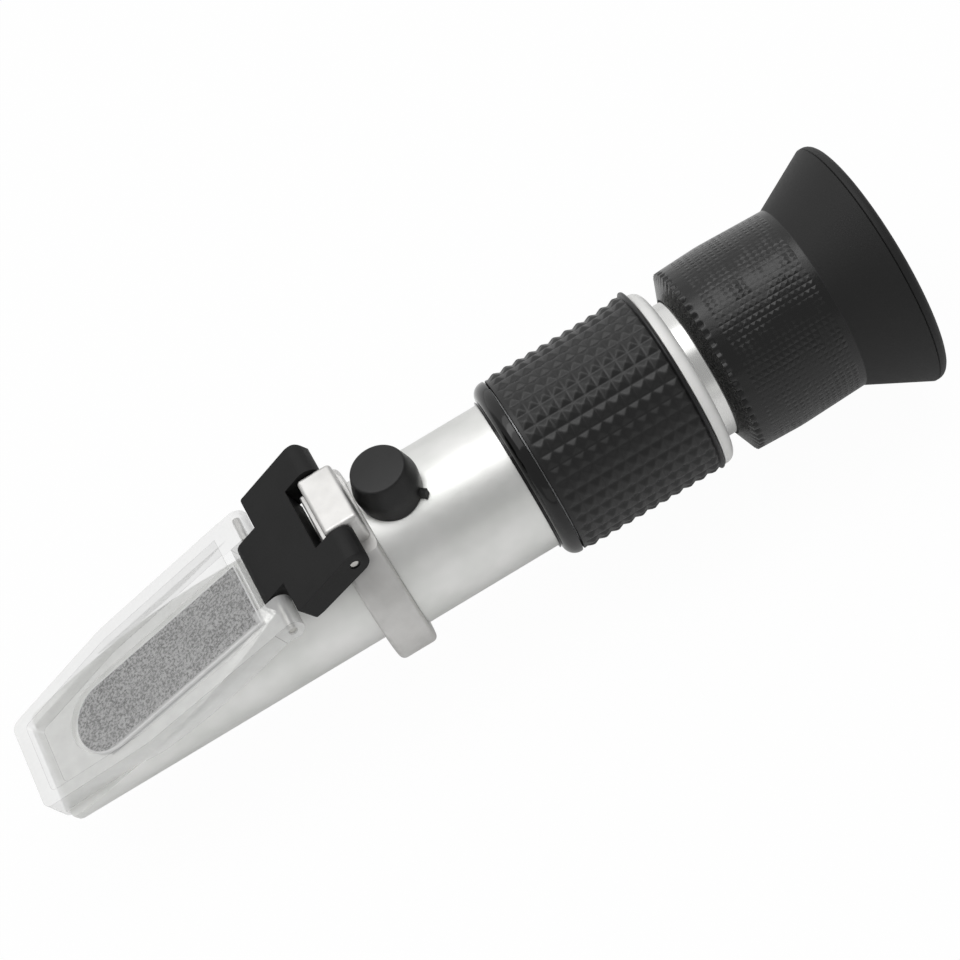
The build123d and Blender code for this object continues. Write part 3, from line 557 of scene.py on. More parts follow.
# Injection-moulded acrylic is thin and faintly hazy, so that what lies under it shows through unbent.
# It is clearest over the sheet, and its walls look whiter.
CLEAR_ACRYLIC = Milky("clear_moulded_acrylic", "#f4f4f3", "#d0d0cf", (0.14, 0.80), 0.16,
                      wall_haze=0.40, window_half=5.95, window_end=-61.5)
# The rounded edges of the moulding get a hazier, darker grey finish, a painted shade that draws its outline.
ACRYLIC_EDGE_SHADE = Milky("rounded_acrylic_edge_painted_shade", "#a8a8a7", "#8e8e8d", (0.55, 0.85), 0.12)
# The moulded pocket edge round the frosted sheet scatters more light than the flat floor does.
FROSTED_EDGE = Milky("frosted_acrylic_edge", "#f6f6f6", "#f0f0f0", (0.70, 0.85), 0.30)
# Polished crown glass of the prism, lenses and scale.
OPTICAL_GLASS = Clear("polished_crown_glass", "#f4faf8", (0.0, 0.02), 1.52)
# Matt paper under the instrument, almost pure white to the camera and dimmer in a mirror.
WHITE_PAPER = Paper("white_paper_sweep", "#f7f7f7", (
    ("Is Camera Ray", 0.97), ("Is Glossy Ray", 0.20), ("Is Transmission Ray", 0.80),
))


class Finishes:
    """The finishes as materials, each made once when it is first asked for."""

    def __init__(self) -> None:
        """Starts with no material made."""
        self._made: dict[str, Material] = {}

    def of(self, finish: AnyFinish) -> Material:
        """The material of a finish.

        Args:
            finish: the finish.

        Returns:
            Its material.
        """
        if finish.name not in self._made:
            material = bpy.data.materials.new(finish.name)
            material.use_nodes = True
            tree = material.node_tree
            tree.nodes.clear()
            add(tree, "ShaderNodeOutputMaterial", {}, {"Surface": finish.surface(tree).outputs[0]})
            self._made[finish.name] = material
        return self._made[finish.name]


# Mesh making


def rounded(corners: list[Corner], steps: int = 6) -> Profile:
    """Draws the rounds of an outline as short straight steps.

    Args:
        corners: (station, radius) or (station, radius, corner radius) in mm.
        steps: steps in each round.

    Returns:
        The closed outline.
    """
    points: Profile = []
    for index, corner in enumerate(corners):
        here = Vector(corner[:2])
        if len(corner) < 3:
            points.append((here.x, here.y))
            continue
        back = (Vector(corners[index - 1][:2]) - here).normalized()
        ahead = (Vector(corners[(index + 1) % len(corners)][:2]) - here).normalized()
        half = back.angle(ahead) / 2
        centre = here + (back + ahead).normalized() * (corner[2] / math.sin(half))
        first, last = (here + way * (corner[2] / math.tan(half)) - centre for way in (back, ahead))
        sweep = first.angle_signed(last)
        for step in range(steps + 1):
            spoke = first.copy()
            spoke.rotate(Matrix.Rotation(-sweep * step / steps, 2))
            points.append(((centre + spoke).x, (centre + spoke).y))
    return points


def divided(profile: Profile, longest: float) -> Profile:
    """Divides the long sides of an open profile.

    Args:
        profile: the points in mm.
        longest: longest side that stays whole, in mm.

    Returns:
        The profile with more points.
    """
    points = [profile[0]]
    for start, end in zip(profile, profile[1:]):
        parts = max(1, math.ceil(math.dist(start, end) / longest))
        points += [tuple(Vector(start).lerp(Vector(end), part / parts)) for part in range(1, parts + 1)]
    return points


def written(work: bmesh.types.BMesh, target: Mesh | str) -> Mesh:
    """Writes worked faces into a mesh, or into a new one of that name, and frees them.

    Args:
        work: the faces.
        target: the mesh or its name.

    Returns:
        The mesh.
    """
    mesh = bpy.data.meshes.new(target) if isinstance(target, str) else target
    work.to_mesh(mesh)
    work.free()
    return mesh


def turned_mesh(name: str, profile: Profile, segments: int, closed: bool = True,
                place: Matrix | None = None) -> Mesh:
    """Turns an outline about the optical axis.

    Args:
        name: name of the mesh.
        profile: (station, radius) points in mm, going round the metal.
        segments: steps round the axis.
        closed: whether the last point joins the first.
        place: moves the turned shape from the X axis into the part's frame.

    Returns:
        The mesh, with a UV map whose U runs round it and V along the outline in metres.
    """
    place = place or DATUM.turned()
    work = bmesh.new()
    rings = []
    for station, radius in profile:
        spokes = [math.tau * step / segments for step in range(1 if radius == 0 else segments)]
        rings.append([
            work.verts.new(place @ (Vector((station, radius * math.sin(a), radius * math.cos(a))) * MM))
            for a in spokes
        ])
    uv = work.loops.layers.uv.new("along")
    lengths = [0.0]
    loop = profile + profile[:1]
    for start, end in zip(loop, loop[1:]):
        lengths.append(lengths[-1] + math.dist(start, end) * MM)
    for row in range(len(rings) if closed else len(rings) - 1):
        here, there = rings[row], rings[(row + 1) % len(rings)]
        for step in range(segments):
            marks = {}
            for ring, turn, level in ((here, step, row), (there, step, row + 1),
                                      (there, step + 1, row + 1), (here, step + 1, row)):
                marks.setdefault(ring[turn % len(ring)], (turn / segments, lengths[level]))
            if len(marks) < 3:
                continue
            face = work.faces.new(list(marks))
            face.smooth = True
            for corner, mark in zip(face.loops, marks.values()):
                corner[uv].uv = mark
    if closed:
        bmesh.ops.recalc_face_normals(work, faces=work.faces)
    return written(work, name)


def box_mesh(name: str, low: Corner, high: Corner, edge: float = 0.0) -> Mesh:
    """Box with rounded edges.

    Args:
        name: name of the mesh.
        low: lowest station, side and rise, in mm.
        high: highest station, side and rise, in mm.
        edge: radius of its edges, in mm.

    Returns:
        The mesh.
    """
    work = bmesh.new()
    bmesh.ops.create_cube(work, size=1.0)
    for vert in work.verts:
        vert.co = DATUM.at(*(low[axis] if vert.co[axis] < 0 else high[axis] for axis in range(3)))
    if edge > 0:
        bmesh.ops.bevel(work, geom=list(work.edges), offset=edge * MM, segments=5, profile=0.5,
                        affect="EDGES")
    return written(work, name)


def skinned(name: str, lines: list[list[Vector]], closed: bool, edge: float = 0.0) -> Mesh:
    """Skins closed lines of points into a solid.

    Args:
        name: name of the mesh.
        lines: lines with the same number of points, in metres.
        closed: whether the last line joins the first; otherwise both are filled in.
        edge: width of its softened edges, in mm.

    Returns:
        The mesh.
    """
    work = bmesh.new()
    rows = [[work.verts.new(point) for point in line] for line in lines]
    for end in () if closed else (rows[0], rows[-1]):
        work.faces.new(end)
    for here, there in zip(rows, rows[1:] + (rows[:1] if closed else [])):
        for spot in range(len(here)):
            after = (spot + 1) % len(here)
            work.faces.new((here[spot], here[after], there[after], there[spot]))
    bmesh.ops.recalc_face_normals(work, faces=work.faces)
    if edge > 0:
        bmesh.ops.bevel(work, geom=list(work.edges), offset=edge * MM, segments=2, affect="EDGES")
    return written(work, name)


def placed(name: str, data: bpy.types.ID) -> Object:
    """Puts an object with its data in the scene.

    Args:
        name: the object's name.
        data: its mesh, light or camera.

    Returns:
        The object.
    """
    made = bpy.data.objects.new(name, data)
    bpy.context.scene.collection.objects.link(made)
    return made


def shaded(mesh: Mesh, sharp: float) -> None:
    """Shades a mesh smooth, but for edges that turn more than so many degrees."""
    mesh.shade_smooth()
    mesh.set_sharp_from_angle(angle=math.radians(sharp))


def piece(name: str, mesh: Mesh, material: Material, sharp: float = 32.0) -> Object:
    """Puts a mesh in the scene with its material and its sharp edges.

    Args:
        name: the piece's name.
        mesh: its mesh, already in place.
        material: its finish.
        sharp: edges that turn more than this many degrees stay crisp.

    Returns:
        The new object.
    """
    mesh.materials.clear()
    mesh.materials.append(material)
    shaded(mesh, sharp)
    return placed(name, mesh)


def settled(source: Object, name: str) -> Mesh:
    """Plain mesh of an object as its modifiers leave it, which are then removed.

    Args:
        source: object with live modifiers.
        name: name of the plain mesh.

    Returns:
        The plain mesh.
    """
    bpy.context.view_layer.update()
    graph = bpy.context.evaluated_depsgraph_get()
    mesh = bpy.data.meshes.new_from_object(source.evaluated_get(graph), depsgraph=graph)
    mesh.name = name
    source.modifiers.clear()
    return mesh


def carved(name: str, base: Mesh, *steps: tuple[Carving, Mesh]) -> Mesh:
    """Cuts closed shapes out of another one, or joins them to it, one after the other.

    Args:
        name: name of the result.
        base: the shape to start from.
        steps: what is done, and the closed shape that it is done with.

    Returns:
        The result.
    """
    whole = placed(name, base)
    tools = [placed(f"{name}_tool", mesh) for _, mesh in steps]
    for (carving, _), tool in zip(steps, tools):
        change = whole.modifiers.new(carving.name.title(), "BOOLEAN")
        change.operation = carving.value
        change.solver = "EXACT"
        change.object = tool
    mesh = settled(whole, name)
    for made in tools + [whole]:
        bpy.data.objects.remove(made)
    return mesh


def shade_rounds(mesh: Mesh, radius: float, play: float = 0.04, lean: float = 25.0) -> None:
    """Gives a faceted round about the optical axis true normals, so that light runs over it evenly.

    Args:
        mesh: the mesh.
        radius: radius of the round, in mm.
        play: how far a corner may lie from it, in mm.
        lean: how many degrees a face may lean from it.
    """
    centre = DATUM.at(0)

    def spoke(place: Vector) -> Vector:
        """Way from the optical axis to a point."""
        return Vector((0, place.y, place.z - centre.z))

    normals = [corner.vector.copy() for corner in mesh.corner_normals]
    for face in mesh.polygons:
        corners = [spoke(mesh.vertices[mesh.loops[index].vertex_index].co) for index in face.loop_indices]
        near = all(abs(corner.length - radius * MM) < play * MM for corner in corners)
        facing = face.normal.dot(spoke(face.center).normalized())
        if near and abs(facing) > math.cos(math.radians(lean)):
            for index, corner in zip(face.loop_indices, corners):
                normals[index] = corner.normalized() * math.copysign(1.0, facing)
    mesh.normals_split_custom_set([normal[:] for normal in normals])


class Group:
    """A node tree for geometry, whose named inputs are sizes and the finish."""

    def __init__(self, name: str, sizes: dict[str, float | int], finish: Material) -> None:
        """Makes the tree with its inputs.

        Args:
            name: name of the tree.
            sizes: what each named input is given.
            finish: the finish of what it makes.
        """
        kinds = {float: "Float", int: "Int", Material: "Material"}
        self.tree = bpy.data.node_groups.new(name, "GeometryNodeTree")
        self.values = sizes | {"Finish": finish}
        for way in ("OUTPUT", "INPUT"):
            self.tree.interface.new_socket("Geometry", in_out=way, socket_type="NodeSocketGeometry")
        for label, value in self.values.items():
            kind = f"NodeSocket{kinds[type(value)]}"
            self.tree.interface.new_socket(label, in_out="INPUT", socket_type=kind)
        self.given = add(self.tree, "NodeGroupInput").outputs

    def maths(self, operation: str, *values: Socket | float) -> Socket:
        """One step of arithmetic."""
        return maths(self.tree, operation, *values)

    def spot(self) -> Any:
        """X, Y and Z of each point, by name."""
        return axes(self.tree, add(self.tree, "GeometryNodeInputPosition").outputs[0])

    def zigzag(self, way: Socket, count: Socket) -> Socket:
        """Wave that climbs from 0 to 1 and falls back, so many times over a way of 1."""
        return self.maths("MULTIPLY", self.maths("PINGPONG", self.maths("MULTIPLY", way, count), 0.5), 2.0)

    def moved(self, geometry: Socket, x: Socket, y: Socket, z: Socket) -> Socket:
        """Geometry with its points in new places."""
        place = add(self.tree, "ShaderNodeCombineXYZ", {}, {"X": x, "Y": y, "Z": z}).outputs[0]
        return add(self.tree, "GeometryNodeSetPosition", {}, {0: geometry, "Position": place}).outputs[0]

    def applied(self, made: Object, geometry: Socket) -> Mesh:
        """Ends the tree and works it on a piece.

        Args:
            made: the piece.
            geometry: what the tree makes.

        Returns:
            The plain mesh.
        """
        real = add(self.tree, "GeometryNodeRealizeInstances", {}, {"Geometry": geometry}).outputs[0]
        feeds = {"Geometry": real, "Material": self.given["Finish"]}
        dressed = add(self.tree, "GeometryNodeSetMaterial", {}, feeds)
        add(self.tree, "NodeGroupOutput", {}, {0: dressed.outputs[0]})
        modifier = made.modifiers.new(self.tree.name, "NODES")
        modifier.node_group = self.tree
        for socket in self.tree.interface.items_tree:
            if socket.in_out == "INPUT" and socket.name in self.values:
                modifier[socket.identifier] = self.values[socket.name]
        return settled(made, made.name)


@dataclass
class SubAssembly:
    """Pieces of one body of the instrument.

    Args:
        frame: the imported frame.
        finishes: the materials.
        body: the CAD body that the pieces ride on.
        weld: corners of a copied node that lie nearer than this are joined, in mm.
        flat_turn: faces that turn less than this many degrees become one.
        edge_turn: edges that turn more than this many degrees are rounded.
        edge_steps: steps across a rounded edge.
    """

    frame: dict[str, Any]
    finishes: Finishes
    body: str = "main_body"
    weld: float = 0.002
    flat_turn: float = 0.4
    edge_turn: float = 35.0
    edge_steps: int = 3

    def dress(self, finish: AnyFinish, *nodes: str) -> None:
        """Gives CAD nodes that stay as they are their finish.

        Args:
            finish: the finish.
            nodes: the nodes.
        """
        for node in nodes:
            for slot in self.frame["nodes"][node].material_slots:
                slot.material = self.finishes.of(finish)
            LOG.info("dressed %s in %s", node, finish.name)

    def stand_in(self, made: Object, slot: str, *nodes: str) -> None:
        """Lets a new piece stand for CAD nodes on this body.

        Args:
            made: the new piece.
            slot: the record's material slot; not used.
            nodes: the nodes that it replaces.
        """
        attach(made, self.body)
        if nodes:
            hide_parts(*nodes)
        LOG.info("piece %s on %s for %s", made.name, self.body, ", ".join(nodes) or "itself")

    def turn(self, name: str, outline: Profile, segments: int, finish: AnyFinish, slot: str,
             node: str) -> None:
        """Turns a ring and lets it stand for a CAD node."""
        made = piece(name, turned_mesh(name, outline, segments), self.finishes.of(finish))
        self.stand_in(made, slot, node)

    def machine(self, name: str, mesh: Mesh, finish: AnyFinish, radius: float, slot: str, node: str) -> None:
        """Shades a carved shape so that its flats stay flat and its rounds run evenly.

        Args:
            name: name of the new piece.
            mesh: the carved shape.
            finish: its finish.
            radius: radius of its round face about the optical axis, in mm.
            slot: the record's material slot.
            node: the CAD node that it stands for.
        """
        made = piece(name, mesh, self.finishes.of(finish))
        weigh = made.modifiers.new("Flat faces first", "WEIGHTED_NORMAL")
        weigh.weight = 100
        weigh.keep_sharp = True
        made.data = settled(made, name)
        shade_rounds(made.data, radius)
        self.stand_in(made, slot, node)

    def soften(self, node: str, name: str, finish: AnyFinish, slot: str, width: float,
               radius: float | None = None, edge: AnyFinish | None = None) -> None:
        """Copies a CAD node, merges its triangles and rounds its edges as a moulding has them.

        Args:
            node: the CAD node that the copy stands for.
            name: name of the new piece.
            finish: its finish.
            slot: the record's material slot.
            width: width of the rounded edges, in mm.
            radius: radius of its round face about the optical axis, where it has one, in mm.
            edge: finish of the rounded edges, where they have their own.
        """
        mesh = self.frame["nodes"][node].data.copy()
        work = bmesh.new()
        work.from_mesh(mesh)
        bmesh.ops.remove_doubles(work, verts=work.verts, dist=self.weld * MM)
        bmesh.ops.dissolve_degenerate(work, edges=work.edges, dist=self.weld * MM)
        flat = math.radians(self.flat_turn)
        bmesh.ops.dissolve_limit(work, verts=work.verts, edges=work.edges, angle_limit=flat)
        written(work, mesh)
        mesh.normals_split_custom_set([(0.0, 0.0, 0.0)] * len(mesh.loops))
        made = piece(name, mesh, self.finishes.of(finish), self.edge_turn)
        bevel = made.modifiers.new("Rounded edges", "BEVEL")
        bevel.width = width * MM
        bevel.segments = self.edge_steps
        bevel.limit_method = "ANGLE"
        bevel.angle_limit = math.radians(self.edge_turn)
        bevel.harden_normals = True
        if edge:
            mesh.materials.append(self.finishes.of(edge))
            bevel.material = 1
        made.data = settled(made, name)
        if radius:
            shade_rounds(made.data, radius)
        self.stand_in(made, slot, node)


# Sub-assemblies


@dataclass
class PrismEnd(SubAssembly):
    """Cast housing with its sloping face, the measuring prism and its seal."""

    edge: float = 0.22
    radius: float = 10.97

    def build(self) -> None:
        """Builds the housing and dresses what it holds."""
        self.soften("prism_housing", "cast_housing", SATIN_ALUMINIUM, "housing_metal", self.edge, self.radius)
        self.dress(OPTICAL_GLASS, "measuring_prism")
        self.dress(SEAL_RUBBER, "prism_seal")
        self.dress(FLAT_BLACK, "light_baffle")


@dataclass
class TubeWithCollar(SubAssembly):
    """Hinge collar, bright tube, and the bush and clamp inside it."""

    bore: float = 10.60
    collar_radius: float = 15.34
    collar_length: float = 6.44
    collar_lip: float = 1.40
    collar_round: float = 0.90
    neck_radius: float = 11.70
    neck_play: float = 0.05
    ledge: float = 13.00
    foot: float = -14.809
    block: tuple[Corner, Corner] = ((0.36, -5.85, 11.80), (6.08, 5.85, 19.00))
    block_edge: float = 0.75
    lug: tuple[Corner, Corner] = ((-0.46, -4.80, 11.80), (1.36, 4.80, 16.70))
    lug_edge: float = 0.38
    pin_bore: float = 0.83
    tube_radius: float = 12.50
    tube_round: float = 0.15
    tube_end: float = 32.54
    tail_end: float = 38.94
    tail_radius: float = 11.63
    screw_station: float = 11.89
    hole_radius: float = 2.65
    spot_radius: float = 3.45
    spot_height: float = 12.00
    segments: int = 256

    def collar(self) -> Mesh:
        """Clamping collar with its ledge, its foot, and the hinge block and lug on top.

        Returns:
            The collar.
        """
        end, radius, neck = self.collar_length, self.collar_radius, self.neck_radius + self.neck_play
        ring = turned_mesh("collar_with_block", rounded([
            (0.0, self.bore), (self.collar_lip, self.bore), (self.collar_lip, neck), (end, neck),
            (end, radius, self.collar_round), (0.0, radius, self.collar_round),
        ]), self.segments)
        wide = radius + PAST
        bore = turned_mesh("pin_bore", [
            (-wide, 0.0), (-wide, self.pin_bore), (wide, self.pin_bore), (wide, 0.0),
        ], 48, place=DATUM.turned(90, "Z", *BLOCK_PIN))
        return carved(
            "collar_with_block", ring,
            (Carving.CUT, box_mesh("over_ledge", (-PAST, -wide, self.ledge), (end + PAST, wide, wide))),
            (Carving.CUT, box_mesh("under_foot", (-PAST, -wide, -wide), (end + PAST, wide, self.foot))),
            (Carving.JOIN, box_mesh("hinge_block", *self.block, self.block_edge)),
            (Carving.JOIN, box_mesh("hinge_lug", *self.lug, self.lug_edge)),
            (Carving.CUT, bore),
        )

    def tube(self) -> Mesh:
        """Tube with the spot face and the hole for the screw's bush.

        Returns:
            The tube.
        """
        body = turned_mesh("bright_tube", rounded([
            (self.collar_lip, self.bore), (self.tail_end, self.bore), (self.tail_end, self.tail_radius),
            (self.tube_end, self.tail_radius), (self.tube_end, self.tube_radius, self.tube_round),
            (self.collar_length, self.tube_radius, self.tube_round), (self.collar_length, self.neck_radius),
            (self.collar_lip, self.neck_radius),
        ]), self.segments)
        deep, high = self.bore - 2 * PAST, self.tube_radius + 2 * PAST
        hole = turned_mesh("screw_hole", [
            (deep, 0.0), (deep, self.hole_radius), (self.spot_height, self.hole_radius),
            (self.spot_height, self.spot_radius), (high, self.spot_radius), (high, 0.0),
        ], 64, place=DATUM.turned(-90, "Y", self.screw_station))
        return carved("bright_tube", body, (Carving.CUT, hole))

    def build(self) -> None:
        """Builds the collar and the tube."""
        self.machine("collar_with_block", self.collar(), CAST_ALUMINIUM, self.collar_radius,
                     "collar_metal", "hinge_collar")
        self.machine("bright_tube", self.tube(), SATIN_ALUMINIUM, self.tube_radius,
                     "tube_metal", "barrel_tube")
        self.dress(BRASS, "screw_bush", "strip_clamp")


@dataclass
class ScrewCap(SubAssembly):
    """Soft cap that covers the adjusting screw."""

    body: str = "cap"
    edge: float = 0.16

    def build(self) -> None:
        """Builds the cap."""
        self.soften("screw_cap", "soft_cap", SATIN_RUBBER, "cap_rubber", self.edge)


@dataclass
class SlidingObjective(SubAssembly):
    """Adjusting screw, and the objective that it shifts, with its temperature strip."""

    body: str = "objective"

    def build(self) -> None:
        """Dresses the inner pieces."""
        self.dress(SCREW_STEEL, "calibration_screw")
        self.dress(BLACK_ANODISED, "lens_carriage", "objective_retainer")
        self.dress(OPTICAL_GLASS, "objective_lens")
        self.dress(BIMETAL, "bimetal_strip")


@dataclass
class KnurledGrip(SubAssembly):
    """Rubber sleeve knurled into square pyramids, between a glossy ring and a bright one.

    The rubber swells a little towards the eyepiece, on the side away from the palm. The bulge's bearing
    is in radians from the top, and its two powers keep it near the end and near that bearing.
    """

    start: float = 32.78
    end: float = 57.82
    bore: float = 13.65
    bore_wall: float = 0.30
    radius: float = 15.30
    depth: float = 0.40
    around: int = 40
    along: int = 11
    valley_blend: float = 0.12
    flank: float = 1.15
    crest_blend: float = 0.22
    merge: float = 0.004
    front_band: float = 0.55
    front_rise: float = 0.10
    front_round: float = 0.12
    lip: float = 0.80
    lip_slope: float = 0.30
    lip_rise: float = 0.05
    lip_rounds: tuple[float, float] = (0.20, 0.42)
    bulge: float = 0.85
    bulge_bearing: float = 1.1
    bulge_powers: tuple[int, int] = (9, 2)
    cells_round: int = 12
    cells_along: int = 12
    sharp: float = 50.0
    ring_start: float = 29.64
    ring_end: float = 32.54
    ring_radius: float = 15.10
    ring_bore: float = 12.55
    ring_rounds: tuple[float, float] = (0.28, 2.05)
    ring_lip_radius: float = 12.95
    ring_lip_round: float = 0.08
    ring_groove: float = 0.20
    ring_wall: float = 0.15
    rear_start: float = 57.94
    rear_end: float = 60.04
    rear_radius: float = 15.00
    rear_rounds: tuple[float, float, float] = (0.12, 1.70, 0.15)
    barrel_bore: float = 11.68
    spigot_radius: float = 12.60
    spigot_start: float = 54.99
    segments: int = 192

    def sleeve_shell(self) -> Mesh:
        """Plain part of the sleeve, open where the knurl goes: lip, ends and bore.

        Returns:
            The open shell.
        """
        root, crest = self.radius - self.depth, self.radius + self.lip_rise
        knurl_end = self.end - self.lip
        outline = rounded([
            (knurl_end, root), (knurl_end + self.lip_slope, crest, self.lip_rounds[0]),
            (self.end, crest, self.lip_rounds[1]), (self.end, self.bore), (self.start, self.bore),
            (self.start, root + self.front_rise, self.front_round), (self.start + self.front_band, root),
        ])
        return turned_mesh("sleeve_shell", outline, self.around * self.cells_round, closed=False)

    def knurled(self, sleeve: Object, finish: Material) -> Mesh:
        """Wraps a knurled sheet round the open sleeve and joins the two.

        Args:
            sleeve: the open sleeve.
            finish: its rubber.

        Returns:
            The closed sleeve.
        """
        first = self.start + self.front_band
        group = Group("Knurled sleeve", {
            "Start": first * MM, "Length": (self.end - self.lip - first) * MM, "Radius": self.radius * MM,
            "Depth": self.depth * MM, "Axis X": DATUM.at(0).x, "Axis Z": DATUM.at(0).z,
            "Rows around": self.around, "Rows along": self.along,
            "Cells around": self.cells_round, "Cells along": self.cells_along,
        }, finish)
        tree, given, do = group.tree, group.given, group.maths
        along, around = (
            do("ADD", do("MULTIPLY", given[f"Rows {way}"], given[f"Cells {way}"]), 1.0)
            for way in ("along", "around")
        )
        sheet = add(tree, "GeometryNodeMeshGrid", {}, {
            "Size X": 1.0, "Size Y": 1.0, "Vertices X": along, "Vertices Y": around,
        })
        spot = group.spot()
        reach, turn = (do("ADD", spot[axis], 0.5) for axis in "XY")
        slopes = group.zigzag(reach, given["Rows along"]), group.zigzag(turn, given["Rows around"])
        pyramid = do("MAXIMUM", do("SMOOTH_MIN", *slopes, self.valley_blend), 0.0)
        blunt = do("SMOOTH_MIN", do("MULTIPLY", pyramid, self.flank), 1.0, self.crest_blend)
        root = do("SUBTRACT", given["Radius"], given["Depth"])
        radius = do("ADD", root, do("MULTIPLY", blunt, given["Depth"]))
        angle = do("MULTIPLY", turn, math.tau)
        wrapped = group.moved(
            sheet.outputs["Mesh"],
            do("ADD", given["Axis X"], do("MULTIPLY_ADD", reach, given["Length"], given["Start"])),
            do("MULTIPLY", radius, do("SINE", angle)),
            do("MULTIPLY_ADD", radius, do("COSINE", angle), given["Axis Z"]),
        )
        both = add(tree, "GeometryNodeJoinGeometry")
        tree.links.new(wrapped, both.inputs[0])
        tree.links.new(given["Geometry"], both.inputs[0])
        merged = add(tree, "GeometryNodeMergeByDistance", {}, {
            "Geometry": both.outputs[0], "Distance": self.merge * MM,
        })
        return group.applied(sleeve, merged.outputs[0])

    def swell(self, work: bmesh.types.BMesh) -> None:
        """Swells the eyepiece end of the rubber a little.

        Args:
            work: the sleeve's mesh.
        """
        centre = DATUM.at(0)
        palm = Vector((0, math.sin(self.bulge_bearing), math.cos(self.bulge_bearing)))
        for vert in work.verts:
            offset = Vector((0, vert.co.y, vert.co.z - centre.z))
            if offset.length < (self.bore + self.bore_wall) * MM:
                continue
            share = (vert.co.x - DATUM.at(self.start).x) / ((self.end - self.start) * MM)
            facing = max(0.0, offset.normalized().dot(palm))
            swelling = max(0.0, share) ** self.bulge_powers[0] * facing ** self.bulge_powers[1]
            vert.co += offset.normalized() * (self.bulge * MM * swelling)

    def rubber(self) -> Object:
        """The knurled sleeve as one closed piece.

        Returns:
            The sleeve.
        """
        finish = self.finishes.of(KNURLED_RUBBER)
        sleeve = piece("knurled_sleeve", self.sleeve_shell(), finish)
        mesh = self.knurled(sleeve, finish)
        work = bmesh.new()
        work.from_mesh(mesh)
        bmesh.ops.recalc_face_normals(work, faces=work.faces)
        self.swell(work)
        sleeve.data = written(work, mesh)
        shaded(mesh, self.sharp)
        return sleeve

    def build(self) -> None:
        """Builds the sleeve and its two rings, and dresses what lies under them."""
        self.stand_in(self.rubber(), "grip_rubber", "rubber_grip")
        groove = self.ring_start + self.ring_groove
        shoulder = groove + self.ring_groove
        floor = self.ring_bore + self.ring_wall
        front = rounded([
            (self.ring_start, self.ring_bore), (self.ring_end, self.ring_bore),
            (self.ring_end, self.ring_radius, self.ring_rounds[0]),
            (shoulder, self.ring_radius, self.ring_rounds[1]), (shoulder, floor), (groove, floor),
            (groove, self.ring_lip_radius, self.ring_lip_round),
            (self.ring_start, self.ring_lip_radius, self.ring_lip_round),
        ], 14)
        self.turn("gloss_front_ring", front, self.segments, GLOSS_ABS, "front_ring_black", "front_ring")
        rear = rounded([
            (self.spigot_start, self.barrel_bore), (self.rear_end, self.barrel_bore, self.rear_rounds[0]),
            (self.rear_end, self.rear_radius, self.rear_rounds[1]),
            (self.rear_start, self.rear_radius, self.rear_rounds[2]),
            (self.rear_start, self.spigot_radius), (self.spigot_start, self.spigot_radius),
        ], 12)
        self.turn("bright_rear_ring", rear, self.segments, BLASTED_ALUMINIUM, "ring_metal", "rear_ring")
        self.dress(PLAIN_ALUMINIUM, "grip_sleeve")
        self.dress(SEAL_RUBBER, "focus_seal")
        self.dress(BLACK_ANODISED, "reticle_ring")
        self.dress(OPTICAL_GLASS, "reticle_disc")


@dataclass
class EyepieceCell(SubAssembly):
    """Keyed cell with the two eyepiece lenses."""

    body: str = "eyepiece_cell"

    def build(self) -> None:
        """Dresses the inner pieces."""
        self.dress(FLAT_BLACK, "lens_cell", "lens_retainer")
        self.dress(BLACK_ANODISED, "lens_spacer")
        self.dress(PIN_STEEL, "guide_key")
        self.dress(OPTICAL_GLASS, "field_lens", "eye_lens")


